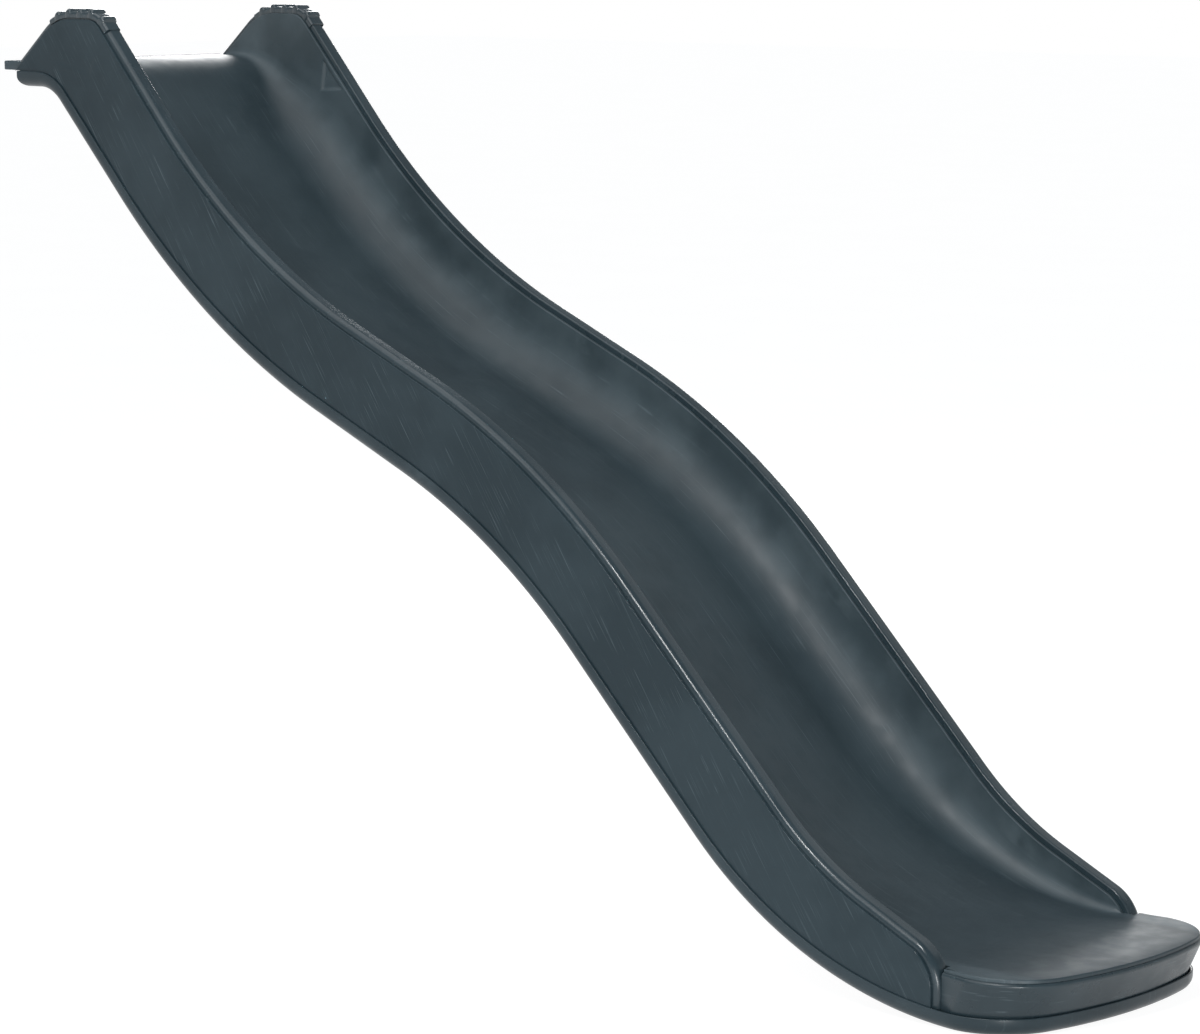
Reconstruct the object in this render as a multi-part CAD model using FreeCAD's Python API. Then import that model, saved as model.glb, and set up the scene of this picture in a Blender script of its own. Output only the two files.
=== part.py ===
import FreeCAD, Part
import math
import os

# Wave slide for a play platform, moulded in plastic as two skins with a hollow between them.
# The chute bed is the sliding surface and the inner walls; side shells, a base shell and a nose
# shell close it from outside; a rail caps the joint along each rim and a ribbed grip covers it
# on each ear. Cross ribs hold the two skins apart and take the screws of the base shell.
#
# Frame: millimetres, +X down the slide, +Y to the left of the person sliding, +Z up.
# The origin is midway between the two fixing holes, on the underside of the entrance flange,
# so z = 0 is the top of the platform.

# ---- heights ----
platform_height = 1200.0    # top of the platform above the ground
flange_thickness = 14.0     # sliding surface above the platform at the entrance
channel_depth = 110.0       # rim above the sliding surface, square to it
hull_depth = 38.5           # sliding surface down to the underside, square to it
nose_height = 78.0          # run-out surface above the ground

# ---- the wave, as straight runs joined by arcs ----
flange_depth = 46.0         # stretch of the flange that lies on the platform
entrance_length = 136.0     # rear edge of the flange to the crest corner
upper_run = 354.0           # crest corner to valley corner, level
middle_run = 618.0          # valley corner to hump corner, level
run_out_length = 425.0      # corner of the lower slope to the tip of the nose
upper_slope = 45.7          # degrees down from level
middle_slope = 22.4
lower_slope = 44.2
crest_radius = 110.0        # radii of the sliding surface
valley_radius = 1256.0
hump_radius = 1120.0
run_out_radius = 600.0
base_run_out_radius = 688.0     # the underside and the rim land on arcs of their own
rim_run_out_radius = 500.0

# ---- widths and walls ----
body_width = 460.0          # over the outer faces of the side shells
rim_width = 29.4            # outer face of a side shell to the inner edge of the rail
bed_wall = 5.0
shell_wall = 4.5            # side shells and nose shell
base_wall = 4.0             # floor of the base shell
base_round = 16.0           # rounding of the underside's outer edge
band_wall = 3.5             # upturned edge of the base shell, outside the side shells
band_height = 24.0
entrance_cove = 14.0        # inner corner between floor and wall at the entrance
channel_cove = 80.0         # from the upper valley down to the run-out
run_out_cove = 8.0          # and where the walls end
run_out_steps = 6           # parts of the run-out between the sections of its narrowing coves
entrance_corner = 2.0       # outer corner of the bed beside the entrance
fit_gap = 0.2               # between pieces that are pushed together

# ---- ears and rim ----
ear_start = 38.0            # rear edge of the flange to the foot of the ear
ear_height = 78.0           # crown of the ear above the entrance
ear_rear_slope = 40.0       # degrees up from level
ear_crown_length = 102.0
ear_rear_radius = 110.0     # rounding of the crown's two corners
ear_front_radius = 50.0
outer_shoulder = 10.4       # rim top down to the upper edge of a side shell
shoulder_round = 1.5        # rounding of that edge
inner_shoulder = 8.6        # rim top down to the upper edge of the bed's wall
rail_leg = 30.0             # how deep a rail reaches between the two skins
rail_wall = 4.0
rail_round = 4.0
nose_overhang = 166.0       # front of the side walls to the tip of the nose
rim_end_rise = 14.0         # rim above the run-out surface where the walls end
rim_end_slope = 24.2
rim_front_radius = 70.0

# ---- grips ----
grip_wall = 1.8
grip_skirt = 8.0            # how far a grip reaches down the sides of the rail
grip_length = 150.0         # along the crown
grip_rib_count = 5
grip_rib_pitch = 27.0
grip_rib_radius = 6.5
grip_rib_rise = 4.0

# ---- nose ----
nose_inset = 4.0            # side of the nose shell, in from the side shells' outer faces
nose_waist = 6.0            # further inset where the nose shell meets the walls' fronts
nose_corner_radius = 108.0
nose_bow = 14.0             # how far the front bulges at its middle
nose_rake = 24.0            # foot of the nose shell behind its upper edge
nose_ledge = 16.0           # inward ledge that carries the run-out plate
nose_shoulder = 5.0         # rounding of the nose shell's upper edge
nose_rib_inset = 55.0       # rib under the run-out, forward of the walls' fronts
plate_round = 1.5           # rounding of the run-out plate's upper edge

# ---- flange ----
hole_inset = 27.0           # fixing holes, forward of the flange's rear edge
hole_spacing = 280.0
hole_radius = 4.5
flange_groove_inset = 14.0  # middle of the groove, forward of the same edge
flange_groove_radius = 6.0
flange_groove_depth = 3.0
flange_corner_radius = 9.0  # rear corners in plan
flange_edge_round = 5.6     # its rear edge, above and below

# ---- dimples in the inner walls beside the entrance ----
dimple_at = 345.0           # middle of a dimple along the rim, from the foot of the ear
dimple_below_rim = 14.0
dimple_length = 66.0
dimple_drop = 40.0          # from its long side, next to the rim, down to its point
dimple_depth = 7.0
dimple_wall = 3.0

# ---- inside ----
rib_count = 8
screwed_ribs = 7            # the ribs that take screws; the last lies too near the ground
first_rib_at = 202.0        # along the sliding surface, from the flange's rear edge
last_rib_before = 381.0     # along the same surface, short of the tip of the nose
rib_thickness = 5.0
rib_tab_height = 38.0       # top of the rib's ends above the sliding surface
boss_radius = 7.0
boss_spacing = 150.0
screw_radius = 2.0
screw_length = 22.0
screw_head_radius = 4.5
screw_head_height = 2.5
screw_clearance = 0.5       # of the screws' holes in the base shell, on the radius

# ---- derived places ----
half_body = body_width / 2
shell_inner = half_body - shell_wall
rail_outer = shell_inner - fit_gap
rail_inner = half_body - rim_width
channel_half = rail_inner - fit_gap - bed_wall
band_inner = half_body + fit_gap
rear_x = -hole_inset
platform_face = rear_x + flange_depth
ground_z = -platform_height
nose_z = ground_z + nose_height
band_z = ground_z + band_height
foot_height = base_wall + base_round - band_wall    # where the outer shells stand in the base
crown_z = flange_thickness + ear_height
reach = 2 * (channel_depth + hull_depth)    # tall enough to pass right through the slide
far_side = 2 * body_width
hair = 0.1                  # how closely an edge has to lie to be picked out

Y_AXIS = FreeCAD.Vector(0, 1, 0)


# ---- rounded polylines in the side view ----
# A corner is (x, z, radius). A positive radius curves upwards like a valley, a negative one
# curves downwards like a hump, and 0 is a plain end.

def spot(x, z, y=0.0):
    return FreeCAD.Vector(x, y, z)


def heading(start, end):
    return math.atan2(end[1] - start[1], end[0] - start[0])


def ahead(angle):
    return spot(math.cos(angle), math.sin(angle))


def upward(angle):
    return spot(-math.sin(angle), math.cos(angle))


def crossing(first, first_angle, second, second_angle):
    """Where two straight lines in the side view meet."""
    dx = second[0] - first[0]
    dz = second[1] - first[1]
    turn = math.sin(second_angle - first_angle)
    along = (dx * math.sin(second_angle) - dz * math.cos(second_angle)) / turn
    return (first[0] + along * math.cos(first_angle), first[1] + along * math.sin(first_angle))


def lift(corners, distance):
    """The curve that runs at a distance above another, square to it."""
    angles = [heading(a, b) for a, b in zip(corners, corners[1:])]
    moved = []
    for corner, angle in zip(corners, angles + angles[-1:]):
        shift = upward(angle) * distance
        moved.append((corner[0] + shift.x, corner[1] + shift.z))
    lifted = [moved[0] + (0.0,)]
    for i in range(1, len(angles)):
        point = crossing(moved[i - 1], angles[i - 1], moved[i], angles[i])
        lifted.append(point + (corners[i][2] - distance,))
    lifted.append(moved[-1] + (0.0,))
    return lifted


def pieces(corners):
    """Straight and arc pieces of a curve: start, heading, length, radius and turn."""
    found = []
    here = spot(corners[0][0], corners[0][1])
    for before, corner, after in zip(corners, corners[1:], corners[2:]):
        angle = heading(before, corner)
        turn = heading(corner, after) - angle
        radius = math.copysign(corner[2], turn)
        tangent = abs(radius * math.tan(turn / 2))
        peak = spot(corner[0], corner[1])
        arc_start = peak - ahead(angle) * tangent
        found.append((here, angle, (arc_start - here).Length, 0.0, 0.0))
        found.append((arc_start, angle, abs(radius * turn), radius, turn))
        here = peak + ahead(angle + turn) * tangent
    last = spot(corners[-1][0], corners[-1][1])
    found.append((here, heading(corners[-2], corners[-1]), (last - here).Length, 0.0, 0.0))
    return found


def place_at(corners, distance):
    """The point and heading at a distance along a curve."""
    for start, angle, length, radius, turn in pieces(corners):
        if distance <= length:
            break
        distance -= length
    if radius == 0:
        return start + ahead(angle) * distance, angle
    swing = turn * distance / length
    centre = start + upward(angle) * radius
    return centre - upward(angle + swing) * radius, angle + swing


def stretch(corners, first, last):
    """The pieces of a curve between two distances along it."""
    kept = []
    begin = 0.0
    for start, angle, length, radius, turn in pieces(corners):
        low = max(first - begin, 0.0)
        high = min(last - begin, length)
        if high > low:
            place, new_angle = place_at(corners, begin + low)
            share = (high - low) / length
            kept.append((place, new_angle, high - low, radius, turn * share))
        begin += length
    return kept


def lies_on(edge, corners):
    """Whether an edge runs along a curve's side view."""
    middle = edge.valueAt((edge.FirstParameter + edge.LastParameter) / 2)
    foot = spot(middle.x, middle.z)
    return Part.Wire(curve_edges(corners)).distToShape(Part.Vertex(foot))[0] < hair


def is_seam(edge):
    """Whether an edge is a straight line across the slide."""
    return isinstance(edge.Curve, Part.Line) and edge.BoundBox.YLength > half_body


def curve_edges(corners):
    edges = []
    for start, angle, length, radius, turn in pieces(corners):
        if radius == 0:
            edges.append(Part.makeLine(start, start + ahead(angle) * length))
        else:
            centre = start + upward(angle) * radius
            middle = centre - upward(angle + turn / 2) * radius
            end = centre - upward(angle + turn) * radius
            edges.append(Part.Arc(start, middle, end).toShape())
    return edges


def sweep(runs, section):
    """Carry a section along pieces of a curve; section(start, angle) gives its face there."""
    solids = []
    for start, angle, length, radius, turn in runs:
        face = section(start, angle)
        if radius == 0:
            solids.append(face.extrude(ahead(angle) * length))
        else:
            centre = start + upward(angle) * radius
            solids.append(face.revolve(centre, Y_AXIS, -math.degrees(turn)))
    return fused(solids)


def fused(solids):
    return solids[0].multiFuse(solids[1:]).removeSplitter()


def slab(edges, low_y, high_y):
    """A side-view outline given depth from low_y to high_y."""
    face = Part.Face(Part.Wire(edges))
    solid = face.extrude(Y_AXIS * (high_y - low_y))
    solid.translate(Y_AXIS * low_y)
    return solid


def block(x_range, y_range, z_range):
    corner = FreeCAD.Vector(x_range[0], y_range[0], z_range[0])
    size = [high - low for low, high in (x_range, y_range, z_range)]
    return Part.makeBox(*size, corner)


def mirrored(shape):
    return shape.mirror(FreeCAD.Vector(0, 0, 0), Y_AXIS)


# ---- the three curves of the side view ----

def floor_curve():
    """The sliding surface, from the rear edge of the flange to the tip of the nose."""
    crest = (rear_x + entrance_length, flange_thickness)
    valley = (crest[0] + upper_run, crest[1] - upper_run * math.tan(math.radians(upper_slope)))
    hump = (valley[0] + middle_run, valley[1] - middle_run * math.tan(math.radians(middle_slope)))
    landing = crossing(hump, -math.radians(lower_slope), (0, nose_z), 0.0)
    return [
        (rear_x, flange_thickness, 0.0),
        crest + (-crest_radius,),
        valley + (valley_radius,),
        hump + (-hump_radius,),
        landing + (run_out_radius,),
        (landing[0] + run_out_length, nose_z, 0.0),
    ]


FLOOR = floor_curve()
tip_x = FLOOR[-1][0]
wall_front = tip_x - nose_overhang
nose_rear = wall_front + fit_gap


def rim_curve():
    """The top of the rails: up over the ear, down the wave and down the front of the wall."""
    above = lift(FLOOR, channel_depth)
    rear_angle = math.radians(ear_rear_slope)
    foot = (rear_x + ear_start, flange_thickness)
    ear_back = crossing(foot, rear_angle, (0, crown_z), 0.0)
    ear_front = (ear_back[0] + ear_crown_length, crown_z)
    front = (wall_front, nose_z + rim_end_rise)
    landing = crossing(above[3], -math.radians(lower_slope), front, -math.radians(rim_end_slope))
    rear_end = crossing(foot, rear_angle, (0, 0), 0.0)
    return [
        rear_end + (0.0,),
        ear_back + (-ear_rear_radius,),
        ear_front + (-ear_front_radius,),
        above[2],
        above[3],
        landing + (rim_run_out_radius,),
        front + (-rim_front_radius,),
        (wall_front, ground_z, 0.0),
    ]


def base_curve():
    """The underside, from behind the platform's face to beyond the nose."""
    below = lift(FLOOR, -hull_depth)
    landing = crossing(below[3], -math.radians(lower_slope), (0, ground_z), 0.0)
    return below[:4] + [landing + (base_run_out_radius,), (tip_x, ground_z, 0.0)]


RIM = rim_curve()
BASE = base_curve()


def under_rim(inset, low_y, high_y):
    """Everything below the rim curve and behind the walls' front."""
    curve = lift(RIM, -inset)
    rear_angle = math.radians(ear_rear_slope)
    curve[0] = crossing(curve[1], rear_angle, (0, 0), 0.0) + (0.0,)
    top = curve_edges(curve)
    start = top[0].Vertexes[0].Point
    end = top[-1].Vertexes[-1].Point
    low_corner = spot(start.x, end.z)
    closing = [Part.makeLine(end, low_corner), Part.makeLine(low_corner, start)]
    return slab(top + closing, low_y, high_y)


def over_base(rise, low_y, high_y, height=reach):
    """A layer that starts at a height above the underside, square to it."""
    low = curve_edges(lift(BASE, rise))
    high = curve_edges(lift(BASE, rise + height))
    rear_end = Part.makeLine(high[0].Vertexes[0].Point, low[0].Vertexes[0].Point)
    front_end = Part.makeLine(low[-1].Vertexes[-1].Point, high[-1].Vertexes[-1].Point)
    return slab(low + [front_end] + high[::-1] + [rear_end], low_y, high_y)


# ---- outlines in plan ----

def tongue_wire(rear_x, rear_half, half_width, front_x, corner, z):
    """A tongue in plan: nearly straight sides, round corners and a bowed front tangent to them."""
    centre = (front_x - nose_bow - corner, half_width - corner)
    span = math.hypot(centre[0] - front_x, centre[1])
    bow_radius = (span ** 2 - corner ** 2) / (2 * nose_bow)
    side_angle = math.radians(90)
    bow_angle = heading((front_x - bow_radius, 0), centre)

    def on_corner(angle, side):
        x = centre[0] + corner * math.cos(angle)
        y = centre[1] + corner * math.sin(angle)
        return FreeCAD.Vector(x, side * y, z)

    def corner_arc(first, last, side):
        middle = on_corner((first + last) / 2, side)
        return Part.Arc(on_corner(first, side), middle, on_corner(last, side)).toShape()

    left_rear = FreeCAD.Vector(rear_x, rear_half, z)
    right_rear = FreeCAD.Vector(rear_x, -rear_half, z)
    bow = Part.Arc(on_corner(bow_angle, 1), FreeCAD.Vector(front_x, 0, z), on_corner(bow_angle, -1))
    return Part.Wire([
        Part.makeLine(right_rear, left_rear),
        Part.makeLine(left_rear, on_corner(side_angle, 1)),
        corner_arc(side_angle, bow_angle, 1),
        bow.toShape(),
        corner_arc(bow_angle, side_angle, -1),
        Part.makeLine(on_corner(side_angle, -1), right_rear),
    ])


def nose_wire(growth, rake, z, rear_x):
    """The nose shell's outline at a height, grown or shrunk all round."""
    half_width = half_body - nose_inset + growth
    return tongue_wire(rear_x, half_width - nose_waist, half_width, tip_x - rake + growth,
                       nose_corner_radius + growth, z)


def upright(wire, high_z):
    face = Part.Face(wire)
    return face.extrude(spot(0, high_z - face.BoundBox.ZMin))


# ---- chute bed ----

def channel_face(start, angle, growth, cove):
    """Section of the channel, square to the sliding surface, with coved lower corners."""
    up = upward(angle)
    side = channel_half + growth
    bend = cove * (1 - math.sin(math.radians(45)))

    def at(y, h):
        return start + Y_AXIS * y + up * (h - growth)

    def cove_arc(hand):
        middle = at(hand * (side - bend), bend)
        return Part.Arc(at(hand * side, cove), middle, at(hand * (side - cove), 0)).toShape()

    return Part.Face(Part.Wire([
        Part.makeLine(at(-side, reach), at(-side, cove)),
        cove_arc(-1),
        Part.makeLine(at(cove - side, 0), at(side - cove, 0)),
        cove_arc(1),
        Part.makeLine(at(side, cove), at(side, reach)),
        Part.makeLine(at(side, reach), at(-side, reach)),
    ]))


def channel(growth, entrance_radius, slope_radius, end_radius):
    """The space in the channel, grown outwards by a thickness. The radius of its lower corners
    widens on the upper slope and narrows again in the run-out, as the walls get lower."""
    runs = pieces(FLOOR)
    run_out_start = sum(run[2] for run in runs[:7])
    run_out_arc = runs[7][2]

    def entrance(start, angle):
        return channel_face(start, angle, growth, entrance_radius)

    def slope(start, angle):
        return channel_face(start, angle, growth, slope_radius)

    def end(start, angle):
        return channel_face(start, angle, growth, end_radius)

    def narrowing(share):
        start, angle = place_at(FLOOR, run_out_start + share * run_out_arc)
        return channel_face(start, angle, growth, slope_radius + share * (end_radius - slope_radius))

    start, angle, length = runs[2][:3]
    foot = start + ahead(angle) * length
    shares = [step / run_out_steps for step in range(run_out_steps + 1)]
    upper = Part.makeLoft([entrance(start, angle).OuterWire, slope(foot, angle).OuterWire], True, True)
    landing = Part.makeLoft([narrowing(share).OuterWire for share in shares], True)
    return sweep(runs[:2], entrance).multiFuse([
        upper,
        sweep(runs[3:7], slope),
        landing,
        sweep(runs[8:], end),
    ])


CHANNEL = channel(0, entrance_cove, channel_cove, run_out_cove)
BED_ENVELOPE = channel(bed_wall, entrance_corner, channel_cove + bed_wall, run_out_cove + bed_wall)


def dimple(growth):
    """A triangular pocket pressed into the left inner wall, its long side next to the rim."""
    middle, angle = place_at(lift(RIM, -dimple_below_rim), dimple_at)
    middle += upward(angle) * growth
    half_side = ahead(angle) * (dimple_length / 2 + 2 * growth)
    point = middle - upward(angle) * (dimple_drop + 2 * growth)
    face = Part.Face(Part.makePolygon([middle - half_side, middle + half_side, point, middle - half_side]))
    face.translate(Y_AXIS * channel_half)
    return face.extrude(Y_AXIS * (dimple_depth + growth))


def flange():
    """The strip that lies on the platform, with a rounded rear edge and a groove before it."""
    half = shell_inner - fit_gap
    bar = block((rear_x, platform_face), (-half, half), (0, flange_thickness))
    corners = [edge for edge in bar.Edges if edge.BoundBox.ZLength > hair and edge.BoundBox.XMax < 0]
    bar = bar.makeFillet(flange_corner_radius, corners)
    rear_edges = [edge for edge in bar.Edges if edge.BoundBox.ZLength < hair
                  and edge.BoundBox.XMax < platform_face - hair]
    bar = bar.makeFillet(flange_edge_round, rear_edges)
    groove_z = flange_thickness - flange_groove_depth + flange_groove_radius
    groove_at = spot(rear_x + flange_groove_inset, groove_z, -body_width)
    bar = bar.cut(Part.makeCylinder(flange_groove_radius, far_side, groove_at, Y_AXIS))
    for y in (-hole_spacing / 2, hole_spacing / 2):
        bar = bar.cut(Part.makeCylinder(hole_radius, reach, spot(0, -reach / 2, y)))
    return bar


def chute_bed():
    half = channel_half + bed_wall
    skin = BED_ENVELOPE.cut(CHANNEL).common(under_rim(inner_shoulder, -half, half))
    plate_z = nose_z - bed_wall
    level_x = pieces(FLOOR)[-1][0].x
    neck = block((level_x, wall_front + bed_wall), (-half, half), (plate_z, nose_z))
    plate = upright(nose_wire(-nose_shoulder, 0, plate_z, nose_rear), nose_z)
    rim_edges = [edge for edge in plate.Edges if edge.BoundBox.ZMin > nose_z - hair
                 and edge.BoundBox.XMax > nose_rear + hair]
    plate = plate.makeFillet(plate_round, rim_edges)
    pockets = dimple(dimple_wall)
    bed = fused([skin, neck, plate, flange(), pockets, mirrored(pockets)])
    return bed.cut(dimple(0)).cut(mirrored(dimple(0)))


# ---- outer shells ----

def clear_of_platform(shape):
    """Cut off what would stand in the platform or in the base shell's rear edge."""
    front = platform_face + band_wall + fit_gap
    return shape.cut(block((rear_x - reach, front), (0, far_side), (ground_z, 0)))


def side_shell():
    """The left outer wall, standing inside the upturned edge of the base shell."""
    wall = under_rim(outer_shoulder, shell_inner, half_body)
    rim = lift(RIM, -outer_shoulder)
    top_edges = [edge for edge in wall.Edges if edge.BoundBox.YMin > half_body - hair
                 and edge.BoundBox.XLength > hair and lies_on(edge, rim)]
    wall = wall.makeFillet(shoulder_round, top_edges)
    wall = wall.common(over_base(foot_height, shell_inner, half_body))
    return clear_of_platform(wall)


def base_layer(low, high, growth):
    """The underside between two heights, inside the base shell's plan outline."""
    layer = over_base(low, -far_side, far_side, high - low)
    half = band_inner + growth
    rear = platform_face + band_wall - growth
    front = tip_x - nose_rake + fit_gap + growth
    plan = tongue_wire(rear, half, half, front, nose_corner_radius + growth, ground_z)
    layer = layer.common(upright(plan, reach))
    foot = lift(BASE, low)
    low_edges = [edge for edge in layer.Edges if lies_on(edge, foot) and not is_seam(edge)]
    return layer.makeFillet(base_round - band_wall + growth, low_edges)


# What the base shell leaves free above its floor, with its rounded corners.
BASE_ROOM = base_layer(base_wall, reach, 0)


def base_shell():
    """The underside, with an edge turned up all round outside the other shells."""
    shell = base_layer(0, band_height, band_wall).cut(BASE_ROOM)
    for shank in screw_places():
        shell = shell.cut(screw_hole(shank, screw_radius + screw_clearance))
    return shell


def nose_shell():
    """The wall round the run-out, with a ledge inside its upper edge for the bed's plate."""
    top_z = nose_z - bed_wall

    def body(growth, high_z, rear):
        foot = nose_wire(growth, nose_rake, ground_z + foot_height, rear)
        waist = nose_wire(growth, nose_rake, band_z, rear)
        brim = nose_wire(growth, 0, high_z, rear)
        return upright(foot, band_z).fuse(Part.makeLoft([waist, brim], True, True))

    outer = body(0, top_z, nose_rear)
    brim_edges = [edge for edge in outer.Edges if edge.BoundBox.ZMin > top_z - hair
                  and edge.BoundBox.XMax > nose_rear + hair]
    outer = outer.makeFillet(nose_shoulder, brim_edges)
    hollow = body(-shell_wall, top_z - bed_wall, wall_front)
    opening = upright(nose_wire(-nose_ledge, 0, top_z - 2 * bed_wall, wall_front), nose_z)
    return outer.cut(hollow).cut(opening).common(over_base(foot_height, -half_body, half_body))


# ---- rails and grips ----

def rail_outline(start, angle, growth=0.0, depth=rail_leg):
    """Closed outline of a left rail, with its two upper corners rounded."""
    up = upward(angle)
    low_y = rail_inner - growth
    high_y = rail_outer + growth
    bend = rail_round * (1 - math.sin(math.radians(45)))

    def at(y, h):
        return start + Y_AXIS * y + up * h

    first = Part.Arc(at(low_y, growth - rail_round), at(low_y + bend, growth - bend),
                     at(low_y + rail_round, growth))
    second = Part.Arc(at(high_y - rail_round, growth), at(high_y - bend, growth - bend),
                      at(high_y, growth - rail_round))
    return Part.Face(Part.Wire([
        Part.makeLine(at(low_y, -depth), at(low_y, growth - rail_round)),
        first.toShape(),
        Part.makeLine(at(low_y + rail_round, growth), at(high_y - rail_round, growth)),
        second.toShape(),
        Part.makeLine(at(high_y, growth - rail_round), at(high_y, -depth)),
        Part.makeLine(at(high_y, -depth), at(low_y, -depth)),
    ]))


def rail_section(start, angle):
    """A left rail is an upside-down U that plugs in between the two skins."""
    up = upward(angle)
    low_y = rail_inner + rail_wall
    high_y = rail_outer - rail_wall
    points = [(low_y, -reach), (low_y, -rail_wall), (high_y, -rail_wall), (high_y, -reach)]
    corners = [start + Y_AXIS * y + up * h for y, h in points]
    groove = Part.Face(Part.makePolygon(corners + corners[:1]))
    return rail_outline(start, angle).cut(groove).Faces[0]


def rim_rail():
    """The left rail: it stands on the flange, caps the rim and ends inside the base shell."""
    rail = sweep(pieces(RIM), rail_section)
    rail = clear_of_platform(rail.common(over_base(foot_height, 0, far_side)))
    flange_room = block((rear_x - reach, platform_face), (0, far_side), (-hair, flange_thickness))
    return rail.cut(flange_room).cut(dimple(dimple_wall))


def ear_grip():
    """The left grip: a saddle over the crown of the ear, with ribs across its top."""
    rear_slope, rear_corner, crown = [run[2] for run in pieces(RIM)[:3]]
    crown_middle = rear_slope + rear_corner + crown / 2
    runs = stretch(RIM, crown_middle - grip_length / 2, crown_middle + grip_length / 2)

    def cover(start, angle):
        return rail_outline(start, angle, grip_wall, grip_skirt)

    grip = sweep(runs, cover)
    for index in range(grip_rib_count):
        along = crown_middle + (index - (grip_rib_count - 1) / 2) * grip_rib_pitch
        place, angle = place_at(RIM, along)
        centre = place + upward(angle) * (grip_wall + grip_rib_rise - grip_rib_radius)
        centre += Y_AXIS * (rail_inner - grip_wall)
        width = rail_outer - rail_inner + 2 * grip_wall
        grip = grip.fuse(Part.makeCylinder(grip_rib_radius, width, centre, Y_AXIS))
    core = sweep(pieces(RIM), rail_outline)
    return grip.cut(core).removeSplitter()


# ---- inside ----

def rib_places():
    """Points of the sliding surface above the cross ribs, evenly spaced, with its heading there."""
    last_rib_at = sum(run[2] for run in pieces(FLOOR)) - last_rib_before
    pitch = (last_rib_at - first_rib_at) / (rib_count - 1)
    return [place_at(FLOOR, first_rib_at + index * pitch) for index in range(rib_count)]


def cross_rib(place, angle):
    """A saddle that stands on the base shell and carries the bed, with two screw bosses."""
    wide = shell_inner - fit_gap
    side = rib_thickness / 2
    rib = Part.makeBox(rib_thickness, 2 * wide, reach, spot(-side, rib_tab_height - reach, -wide))
    for y in (-boss_spacing / 2, boss_spacing / 2):
        rib = rib.fuse(Part.makeCylinder(boss_radius, reach, spot(0, -reach, y)))
    rib.rotate(spot(0, 0), Y_AXIS, -math.degrees(angle))
    rib.translate(place)
    return rib.common(BASE_ROOM).cut(BED_ENVELOPE)


def screw_places():
    """Foot of each screw, on the outer face of the underside, and the direction it points in."""
    underside = Part.Wire(curve_edges(BASE))
    feet = []
    for place, angle in rib_places()[:screwed_ribs]:
        down = Part.makeLine(place, place - upward(angle) * reach)
        middle = down.distToShape(underside)[1][0][0]
        for y in (-boss_spacing / 2, boss_spacing / 2):
            feet.append((middle + Y_AXIS * y, upward(angle)))
    return feet


def screw_hole(shank, radius):
    foot, direction = shank
    return Part.makeCylinder(radius, screw_length, foot - direction, direction)


def base_screws():
    screws = []
    for foot, direction in screw_places():
        shaft = Part.makeCylinder(screw_radius, screw_length, foot - direction, direction)
        head = Part.makeCylinder(screw_head_radius, screw_head_height, foot, -direction)
        screws.append(head.fuse(shaft).removeSplitter())
    return screws


def nose_rib():
    """A plate across the nose that carries the run-out."""
    rear = wall_front + nose_rib_inset
    plate = block((rear, rear + rib_thickness), (-half_body, half_body), (ground_z, nose_z - bed_wall))
    low_room = upright(nose_wire(-shell_wall - fit_gap, nose_rake, ground_z, wall_front),
                       nose_z - 2 * bed_wall)
    high_room = upright(nose_wire(-nose_ledge - fit_gap, nose_rake, ground_z, wall_front), nose_z)
    return plate.common(low_room.fuse(high_room)).common(BASE_ROOM)


# ---- all the pieces ----

def build():
    left_shell = side_shell()
    left_rail = rim_rail()
    left_grip = ear_grip()
    nodes = {
        "chute_bed": chute_bed(),
        "left_side_shell": left_shell,
        "right_side_shell": mirrored(left_shell),
        "left_rim_rail": left_rail,
        "right_rim_rail": mirrored(left_rail),
        "left_ear_grip": left_grip,
        "right_ear_grip": mirrored(left_grip),
        "base_shell": base_shell(),
        "nose_shell": nose_shell(),
        "nose_rib": nose_rib(),
        "base_screws": Part.makeCompound(base_screws()),
    }
    for number, (place, angle) in enumerate(rib_places(), start=1):
        rib = cross_rib(place, angle)
        for shank in screw_places():
            rib = rib.cut(screw_hole(shank, screw_radius))
        nodes["cross_rib_%d" % number] = rib
    return nodes


os.makedirs("parts", exist_ok=True)
for name, shape in build().items():
    shape.exportStep("parts/%s.step" % name)
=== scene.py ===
# %% [markdown]
# # A wave slide for a play platform
# The slide is moulded in dark slate polyethylene as two skins with a hollow between them.
# The solids from the CAD step are exact but plain. In this lesson the pieces that are seen get
# finer meshes in the same places, and every piece gets a procedural plastic or steel.

# %% Load the solids
import math
import bmesh
import bpy
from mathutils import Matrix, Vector


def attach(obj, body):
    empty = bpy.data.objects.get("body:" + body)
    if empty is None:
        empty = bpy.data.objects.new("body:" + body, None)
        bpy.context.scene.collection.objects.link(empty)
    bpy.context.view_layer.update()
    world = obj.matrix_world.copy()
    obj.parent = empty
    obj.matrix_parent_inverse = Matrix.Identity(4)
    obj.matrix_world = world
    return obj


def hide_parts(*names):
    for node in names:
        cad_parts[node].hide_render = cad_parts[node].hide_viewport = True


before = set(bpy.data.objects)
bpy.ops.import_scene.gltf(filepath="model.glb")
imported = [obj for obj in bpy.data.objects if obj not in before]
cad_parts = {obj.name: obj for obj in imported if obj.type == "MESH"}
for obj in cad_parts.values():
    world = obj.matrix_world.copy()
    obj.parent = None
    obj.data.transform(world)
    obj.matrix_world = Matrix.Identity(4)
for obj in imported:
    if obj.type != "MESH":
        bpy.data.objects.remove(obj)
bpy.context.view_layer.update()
scene = bpy.context.scene
MM = 0.001
print("solids:", sorted(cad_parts))

# %% [markdown]
# ## The camera
# It looks along the near side from beyond the foot of the slide, a little downwards and from over
# six metres away, so the long chute is seen with little perspective. The lens is a telephoto.

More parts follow.
